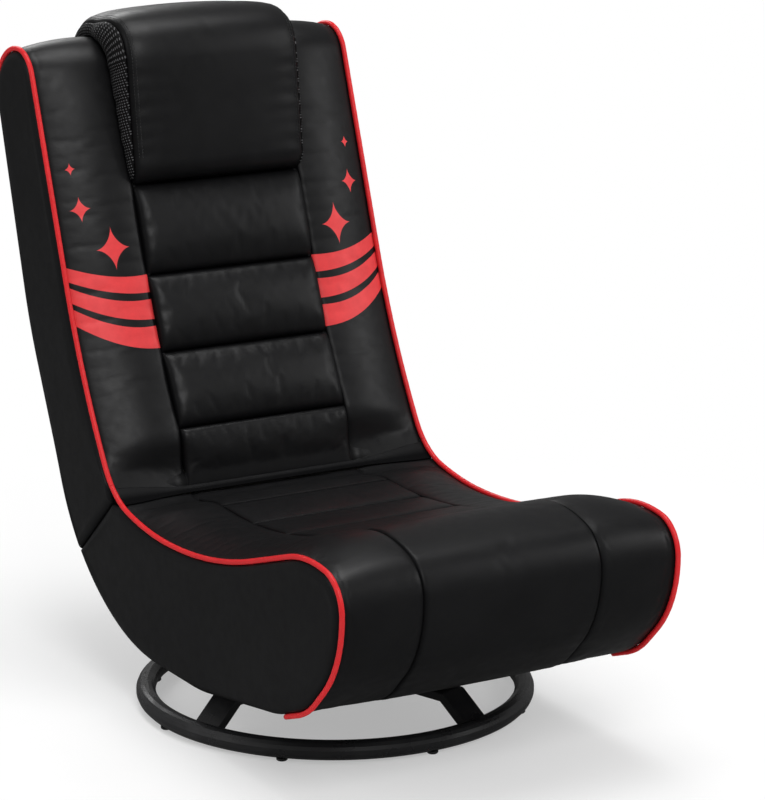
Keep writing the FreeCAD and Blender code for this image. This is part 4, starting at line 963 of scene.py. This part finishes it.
def make_cut_covers(cloth, tape, teeth):
    """Covers of the two faces that meet at the cut, each with a zip let in along its outer end."""
    x = cut_half * np.linspace(-1, 1, 41)
    across = np.concatenate([x, np.linspace(x[-1], x[0], 5)])[None, :]
    a, b = np.linspace(8.0, cut_length - 5.5, 36)[:, None], x[None, :]
    strip_x = np.linspace(-zip_half, zip_half, 60)[None, :]
    width = np.array([-6.6, -6.4, 6.4, 6.6])[:, None]
    level = np.array([1.5, 0.75, 0.75, 1.5])[:, None] + 0.12 * np.sin(strip_x / 9.0)
    for side, key in ((1, "back"), (-1, "seat")):
        up = 0.5 + 0.25 * np.sin(a / 11.0) * np.sin(b / 17.0)
        up = up + 0.9 * np.exp(-(cut_half - np.abs(b)) / 3.0) + 1.1 * np.exp(-(a[-1] - a) / 3.0)
        up = up + 1.2 * (1 - ease((np.abs(a - zip_at) - 6.0) / 2.5)) * (np.abs(b) < half_width - 22)
        up = np.concatenate([up, np.full((len(a), 5), 2.5)], axis=1)
        uv = np.stack(np.broadcast_arrays(across, a), axis=-1)
        piece = tube_of(key + "_cut_cloth", cut_point(a, side * up, across), cloth, uv)
        settle(piece, key, key + "_cut_cover", fill=0.9, slot="black_cloth")
        front = cut_point(zip_at + width, side * level, strip_x)
        rear = cut_point(zip_at + width[::-1], side * 1.7, strip_x)
        loops = np.concatenate([front, rear]).transpose(1, 0, 2)
        ribbon = tube_of(key + "_zip_ribbon", loops, tape, np.stack([loops[..., 0], loops[..., 2]], axis=-1))
        settle(ribbon, key, key + "_zip_tape", slot="zip_cloth")
        zip_teeth(key, side, teeth)


# Piping, crease and stitching

def cord_loops(s):
    """Piping: circles about a line that stands out and up from the side seam, a little tight at each stitch."""
    angle = np.linspace(0, 2 * np.pi, 19)[:-1][None, :]
    radius = bpy.context.scene.chair_sizes.piping_radius / MM
    radius = radius * (1 + 0.018 * np.sin(s / 1.9) + 0.02 * ripple(s, 0.8))[:, None]
    x = half_width + piping_stand + radius * np.cos(angle)
    return skin(s[:, None], x, piping_stand + radius * np.sin(angle))


def cord_piece(name, s, material):
    """Closed length of piping."""
    uv = np.stack(np.broadcast_arrays(np.linspace(0, 24, 18)[None, :], s[:, None]), axis=-1)
    return tube_of(name, cord_loops(s), material, uv)


def make_piping(leather):
    """Piping along both side seams of the seat and the back, and its bridge over the crease."""
    start, end = seat_lip_at - 1.5, back_lip_at + 1.5
    for key, s in (("seat", -np.arange(-start, seat_reach, 2.6)), ("back", np.arange(end, back_reach, 2.6))):
        s[-1] = -seat_reach if key == "seat" else back_reach
        piece = cord_piece(key + "_piping_right_cord", s, leather)
        settle_pair(piece, key, key + "_piping", slot="piping_leather")
    right = cord_piece("crease_piping_right_cord", np.linspace(start - 0.4, end + 0.4, 40), leather)
    left = mirrored(right, "crease_piping_left_cord")
    ends = [tuple(cord_loops(np.array([d]))[0].mean(axis=0) * MM) for d in (start * 0.85, end * 0.85)]
    for piece in (right, left):
        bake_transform(piece)
        if piece is right:
            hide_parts("crease_piping")


def make_gusset(leather):
    """Fold between the lips: a low valley across the middle that rises with 3v^2 - 2v^3 over each bolster until it
    fills the notch up to the outline under the piping."""
    x = np.linspace(-1, 1, 81) * (half_width + 0.9)
    full = ease((np.abs(x) - centre_half) / (half_width - centre_half))[:, None, None]
    t = np.linspace(-1, 1, 21)
    seat_way, back_way = heading_way(seat_lip_heading - 0.8), heading_way(back_lip_heading + 0.8)
    mid_way = heading_way((seat_lip_heading + back_lip_heading) / 2)
    bottom = apex - 1.0 * mid_way
    valley = apex + fold_depth * mid_way
    tips = np.where(t[:, None] < 0, apex + fold_arm * seat_way, apex + fold_arm * back_way)
    fold = valley + (tips - valley) * np.abs(t)[:, None]
    brim = skin(np.where(t < 0, -t * seat_lip_at, t * back_lip_at), 0.0, -0.5)[:, 1:]
    top = fold + (brim - fold) * full
    top[..., 0] += 0.25 * np.sin(x / 7.0)[:, None] * (1 - full[..., 0])
    share = np.linspace(0, 1, 7)[1:, None]
    down = top[:, -1:] + (bottom - top[:, -1:]) * share
    again = bottom + (top[:, :1] - bottom) * share[:-1]
    yz = np.concatenate([top, down, again], axis=1)
    loops = np.concatenate([np.broadcast_to(x[:, None, None], yz.shape[:2] + (1,)), yz], axis=-1)
    # Painted shade: the seam mark darkens the fold's seat arm and valley, fading out up its back arm, and all its
    # underside
    shade = np.concatenate([np.clip(0.75 - t, 0, 1), np.ones(yz.shape[1] - len(t))]) + 0 * yz[..., 0]
    piece = tube_of("crease_gusset_fold", loops, leather, loops[..., :2], {"seam": shade})
    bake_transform(piece)
    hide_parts("crease_gusset")


def stitch_row(name, path, up, material):
    """Row of stitches along a path: each is a six-sided bead, thin at its ends, half sunk along its normal."""
    sizes = bpy.context.scene.chair_sizes
    pitch, thread = sizes.stitch_pitch / MM, sizes.thread / MM
    way = np.concatenate([[0.0], np.cumsum(np.linalg.norm(np.diff(path, axis=0), axis=1))])
    at = np.arange(pitch, way[-1] - pitch, pitch)

    def read(rows, where):
        return np.stack([np.interp(where, way, rows[:, i]) for i in range(3)], axis=-1)

    mid = read(path, at)
    along = read(path, at + 0.5) - read(path, at - 0.5)
    along /= np.linalg.norm(along, axis=1)[:, None]
    out = read(up, at)
    out /= np.linalg.norm(out, axis=1)[:, None]
    across = np.cross(along, out)
    angle = np.linspace(0, 2 * np.pi, 7)[:-1, None]
    rings = []
    for share, size, dip in ((-0.5, 0.35, -0.5), (-0.36, 1.0, 0.15), (0.36, 1.0, 0.15), (0.5, 0.35, -0.5)):
        centre = mid + along * pitch * stitch_share * share + out * dip * thread
        spin = np.cos(angle) * across[:, None] + np.sin(angle) * out[:, None]
        rings.append(centre[:, None] + thread * size * spin)
    verts = np.stack(rings, axis=1).reshape(-1, 3)
    first = np.arange(len(at))[:, None, None] * 24
    faces = (first + np.array(band_faces(4, 6))[None]).reshape(-1, 4).tolist()
    ends = np.array([[5, 4, 3, 2, 1, 0], [18, 19, 20, 21, 22, 23]])
    faces += (first + ends[None]).reshape(-1, 6).tolist()
    return add_mesh(name, verts, faces, material, weld=0)


def make_stitching(thread):
    """Double rows beside the pillow's side edges."""
    s = np.linspace(pillow_start + 27, arch_peak + pillow_tail - 8, 260)
    for row, inset in ((1, 5.0), (2, 9.0)):
        u = 1 - inset / pillow_half
        x = pillow_width(s) * u
        h = pillow_face(s, u)
        path = skin(s, x, h)
        up = skin(s, x, h + 1.0) - path
        for side, word in ((1, "right"), (-1, "left")):
            turn = np.array([side, 1, 1])
            piece = stitch_row("pillow_stitch_%s_%d" % (word, row), path * turn, up * turn, thread)
            settle(piece, "back", slot="black_leather")


# Stage

def make_floor(colour):
    """Pale floor: a wide sheet that takes the shadow round the object, and turns plain white further off.
    Reflections see little of it."""
    made, tree, body = shader("Studio floor", colour, 0.9, Specular_IOR_Level=0.1)
    spot = object_spot(tree)
    speck = noise(tree, spot, 9.0, 3.0)
    tone = blend_colour(tree, spread_of(tree, speck, 0.3, 0.7), colour, scaled(colour, 0.985))
    dress(tree, body, tone, [])
    far = add(tree, "VectorMath", [(0, spot)], operation="LENGTH").outputs["Value"]
    path = add(tree, "LightPath")
    share = sums(tree, "MULTIPLY", path.outputs["Is Camera Ray"], spread_of(tree, far, 0.42, 1.15, 0.4, 1.0))
    seen = blend_shader(tree, share, body, glow(tree, "Emission", 1.0, 1.0))
    missed = sums(tree, "MULTIPLY", path.outputs["Is Glossy Ray"], floor_miss)
    dim = blend_shader(tree, missed, seen, glow(tree, "Emission", 0.05, 1.0))
    tree.links.new(dim.outputs[0], tree.nodes["Material Output"].inputs["Surface"])
    grid = np.linspace(-floor_reach, floor_reach, 5)
    x, y = np.meshgrid(grid, grid)
    spots = np.stack([x, y, 0 * x - 0.05], axis=-1).reshape(-1, 3)
    add_mesh("floor", spots, band_faces(5, 5, False), made)


def lamp(name, spot, aim, size, power):
    """White area lamp at a spot, aimed at a height over the middle of the floor."""
    data = bpy.data.lights.new(name, "AREA")
    data.shape = "RECTANGLE"
    data.size, data.size_y = size
    data.energy = power
    thing = show(name, data)
    thing.location = spot
    thing.rotation_euler = (Vector((0.0, 0.0, aim)) - Vector(spot)).to_track_quat("-Z", "Y").to_euler()


def make_world(level):
    """White to the camera, an even light of this level to all else, and less of it in reflections."""
    world = bpy.data.worlds.new("Studio")
    world.use_nodes = True
    tree = world.node_tree
    tree.nodes.clear()
    path = add(tree, "LightPath")
    strength = sums(tree, "MULTIPLY_ADD", path.outputs["Is Glossy Ray"], -world_miss * level, level)
    plain, white = glow(tree, "Background", 1.0, strength), glow(tree, "Background", 1.0, 1.0)
    mix = blend_shader(tree, path.outputs["Is Camera Ray"], plain, white)
    add(tree, "OutputWorld", [("Surface", mix.outputs[0])])
    bpy.context.scene.world = world


def make_camera():
    """Long lens, a little above the seat and to its left, aimed level with the picture's middle."""
    data = bpy.data.cameras.new("Camera")
    data.sensor_width = 36.0
    data.lens = camera_lens
    data.clip_end = 60.0
    thing = show("Camera", data)
    thing.location = (camera_side * MM, (camera_front + swivel_y) * MM, camera_up * MM)
    thing.rotation_euler = (math.radians(90.0 - camera_tilt), 0.0, math.radians(-camera_turn))
    bpy.context.scene.camera = thing


# Add-on

def length_prop(name, description, default, low, high):
    """Length in metres."""
    return FloatProperty(name=name, description=description, default=default, min=low, max=high, precision=5,
                         subtype="DISTANCE", unit="LENGTH")


class ChairSizes(bpy.types.PropertyGroup):
    """Sizes of the covers' details"""
    pucker: length_prop("Pucker", "Height of the small gathers along the seams", 0.0006, 0.0, 0.003)
    piping_radius: length_prop("Piping radius", "Radius of the cord along the side seams", 0.0033, 0.002, 0.006)
    stitch_pitch: length_prop("Stitch pitch", "Distance from one stitch to the next", 0.0042, 0.002, 0.01)
    thread: length_prop("Thread radius", "Radius of the sewing thread", 0.0004, 0.0002, 0.001)
    weave_pitch: length_prop("Weave pitch", "Distance between threads of the plain cloth", 0.0011, 0.0004, 0.004)
    mesh_pitch: length_prop("Mesh pitch", "Distance between knots of the pillow's side mesh", 0.0036, 0.001, 0.006)


def colour_prop(name, description, default):
    """Colour in linear values."""
    return FloatVectorProperty(name=name, description=description, default=default, min=0.0, max=1.0,
                               size=3, subtype="COLOR")


class ChairColours(bpy.types.PropertyGroup):
    """Colours of the materials"""
    leather: colour_prop("Leather", "Coated cloth of the cushions and sides", (0.0052, 0.0052, 0.0057))
    trim: colour_prop("Trim", "Piping", (0.60, 0.016, 0.020))
    printed: colour_prop("Print", "Bands and stars of the bolsters", (0.76, 0.052, 0.056))
    cloth: colour_prop("Cloth", "Rear, underside and inner covers", (0.018, 0.018, 0.019))
    mesh: colour_prop("Mesh", "Side mesh of the pillow", (0.014, 0.014, 0.015))
    foam: colour_prop("Foam", "Cushion cores", (0.82, 0.76, 0.55))
    paint: colour_prop("Paint", "Powder coat of the ring and arms", (0.016, 0.016, 0.017))
    steel: colour_prop("Steel", "Plated bolts, nuts and hinges", (0.55, 0.56, 0.57))
    floor: colour_prop("Floor", "Studio floor", (0.93, 0.93, 0.93))


def finish_of(slot):
    """Material of a slot, made at its first use."""
    colours = {key: tuple(getattr(bpy.context.scene.chair_colours, key)) for key in ChairColours.__annotations__}
    sizes = bpy.context.scene.chair_sizes
    leather, cloth, paint = colours["leather"], colours["cloth"], colours["paint"]
    finishes = {
        "black_leather": (coated_leather, "Coated leather", leather, 0.40),
        "printed_leather": (coated_leather, "Coated leather printed", leather, 0.40, colours["printed"]),
        "piping_leather": (coated_leather, "Coated leather trim", colours["trim"], 0.36),
        # Painted shade: a duller copy of the leather with less sheen, so the fold reads as a shadowed crease
        "shaded_fold_leather": (coated_leather, "Coated leather fold", leather, 0.55, None, 0.12),
        "black_cloth": (woven_cloth, "Plain cloth", cloth, sizes.weave_pitch),
        "zip_cloth": (woven_cloth, "Zip tape", cloth, sizes.weave_pitch * 0.7),
        "black_mesh": (spacer_mesh, "Side mesh", colours["mesh"], sizes.mesh_pitch),
        "foam": (open_foam, "Cut foam", colours["foam"]),
        "plywood": (plywood, "Raw plywood"),
        "zinc_steel": (coated_metal, "Plated steel", colours["steel"], 0.32, 1.0, 0.00002),
        "black_plastic": (coated_metal, "Moulded plastic", paint, 0.55),
        "frame_steel": (coated_metal, "Primed steel", scaled(paint, 2), 0.55),
        "black_paint": (coated_metal, "Powder coat", paint, 0.30),
        "plate_paint": (coated_metal, "Powder coat", paint, 0.30),
    }
    make, name, *values = finishes.get(slot, finishes["black_leather"])
    return bpy.data.materials.get(name) or make(name, *values)


class CHAIR_OT_hard_parts(bpy.types.Operator):
    """Gives each part of the frame the material of its slot"""
    bl_idname = "chair.hard_parts"
    bl_label = "Hard parts"

    def execute(self, context):
        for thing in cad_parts.values():
            for i, material in enumerate(thing.data.materials):
                thing.data.materials[i] = finish_of(material.name.split(".")[0])
        return {"FINISHED"}


class CHAIR_OT_foam(bpy.types.Operator):
    """Foam cores of the back and the seat"""
    bl_idname = "chair.foam"
    bl_label = "Foam cores"

    def execute(self, context):
        make_foam(finish_of("foam"))
        return {"FINISHED"}


class CHAIR_OT_side_panels(bpy.types.Operator):
    """Side panels of the back and the seat"""
    bl_idname = "chair.side_panels"
    bl_label = "Side panels"

    def execute(self, context):
        make_side_panels(finish_of("black_leather"))
        return {"FINISHED"}


class CHAIR_OT_covers(bpy.types.Operator):
    """Rear, underside and inner covers, with their zips"""
    bl_idname = "chair.covers"
    bl_label = "Covers and zips"

    def execute(self, context):
        make_covers(finish_of("black_leather"))
        make_cut_covers(finish_of("black_cloth"), finish_of("zip_cloth"), finish_of("black_plastic"))
        return {"FINISHED"}


class CHAIR_OT_bolsters(bpy.types.Operator):
    """Side bolsters of the back and the seat, with the bands and stars pressed on"""
    bl_idname = "chair.bolsters"
    bl_label = "Bolsters"

    def execute(self, context):
        make_bolsters(finish_of("black_leather"), finish_of("printed_leather"))
        return {"FINISHED"}


class CHAIR_OT_channels(bpy.types.Operator):
    """Sewn channels of the back and ribs of the seat"""
    bl_idname = "chair.channels"
    bl_label = "Channels and ribs"

    def execute(self, context):
        make_channels(finish_of("black_leather"))
        make_ribs(finish_of("black_leather"))
        return {"FINISHED"}


class CHAIR_OT_end_panels(bpy.types.Operator):
    """Middle panels over the front roll and over the top"""
    bl_idname = "chair.end_panels"
    bl_label = "End panels"

    def execute(self, context):
        make_end_panels(finish_of("black_leather"))
        return {"FINISHED"}


class CHAIR_OT_pillow(bpy.types.Operator):
    """Headrest pillow with its mesh sides and stitching"""
    bl_idname = "chair.pillow"
    bl_label = "Headrest pillow"

    def execute(self, context):
        make_pillow(finish_of("black_leather"))
        make_pillow_sides(finish_of("black_mesh"))
        make_stitching(finish_of("black_cloth"))
        return {"FINISHED"}


class CHAIR_OT_piping(bpy.types.Operator):
    """Piping along the side seams, and the fold between seat and back"""
    bl_idname = "chair.piping"
    bl_label = "Piping and crease"

    def execute(self, context):
        make_piping(finish_of("piping_leather"))
        make_gusset(finish_of("shaded_fold_leather"))
        return {"FINISHED"}


class CHAIR_OT_stage(bpy.types.Operator):
    """Floor, lamps, world and camera"""
    bl_idname = "chair.stage"
    bl_label = "Stage"

    def execute(self, context):
        make_floor(tuple(context.scene.chair_colours.floor))
        for values in lamps:
            lamp(*values)
        make_world(world_level)
        make_camera()
        context.scene.view_settings.view_transform = "Standard"
        return {"FINISHED"}


operators = (CHAIR_OT_hard_parts, CHAIR_OT_foam, CHAIR_OT_side_panels, CHAIR_OT_covers, CHAIR_OT_bolsters,
             CHAIR_OT_channels, CHAIR_OT_end_panels, CHAIR_OT_pillow, CHAIR_OT_piping, CHAIR_OT_stage)


class CHAIR_PT_panel(bpy.types.Panel):
    """Sizes, colours and steps of the floor chair"""
    bl_idname = "CHAIR_PT_panel"
    bl_label = "Floor chair"
    bl_space_type = "VIEW_3D"
    bl_region_type = "UI"
    bl_category = "Floor chair"

    def draw(self, context):
        for group in (context.scene.chair_sizes, context.scene.chair_colours):
            for key in group.__annotations__:
                self.layout.prop(group, key)
        for kind in operators:
            self.layout.operator(kind.bl_idname)


classes = (ChairSizes, ChairColours, *operators, CHAIR_PT_panel)


def register():
    """Adds the classes and the scene's sizes and colours."""
    for kind in classes:
        bpy.utils.register_class(kind)
    bpy.types.Scene.chair_sizes = PointerProperty(type=ChairSizes)
    bpy.types.Scene.chair_colours = PointerProperty(type=ChairColours)


def unregister():
    """Takes them away again."""
    del bpy.types.Scene.chair_colours
    del bpy.types.Scene.chair_sizes
    for kind in reversed(classes):
        bpy.utils.unregister_class(kind)


def main():
    """Runs each step."""
    register()
    for kind in operators:
        group, name = kind.bl_idname.split(".")
        getattr(getattr(bpy.ops, group), name)()


if __name__ == "__main__":
    main()
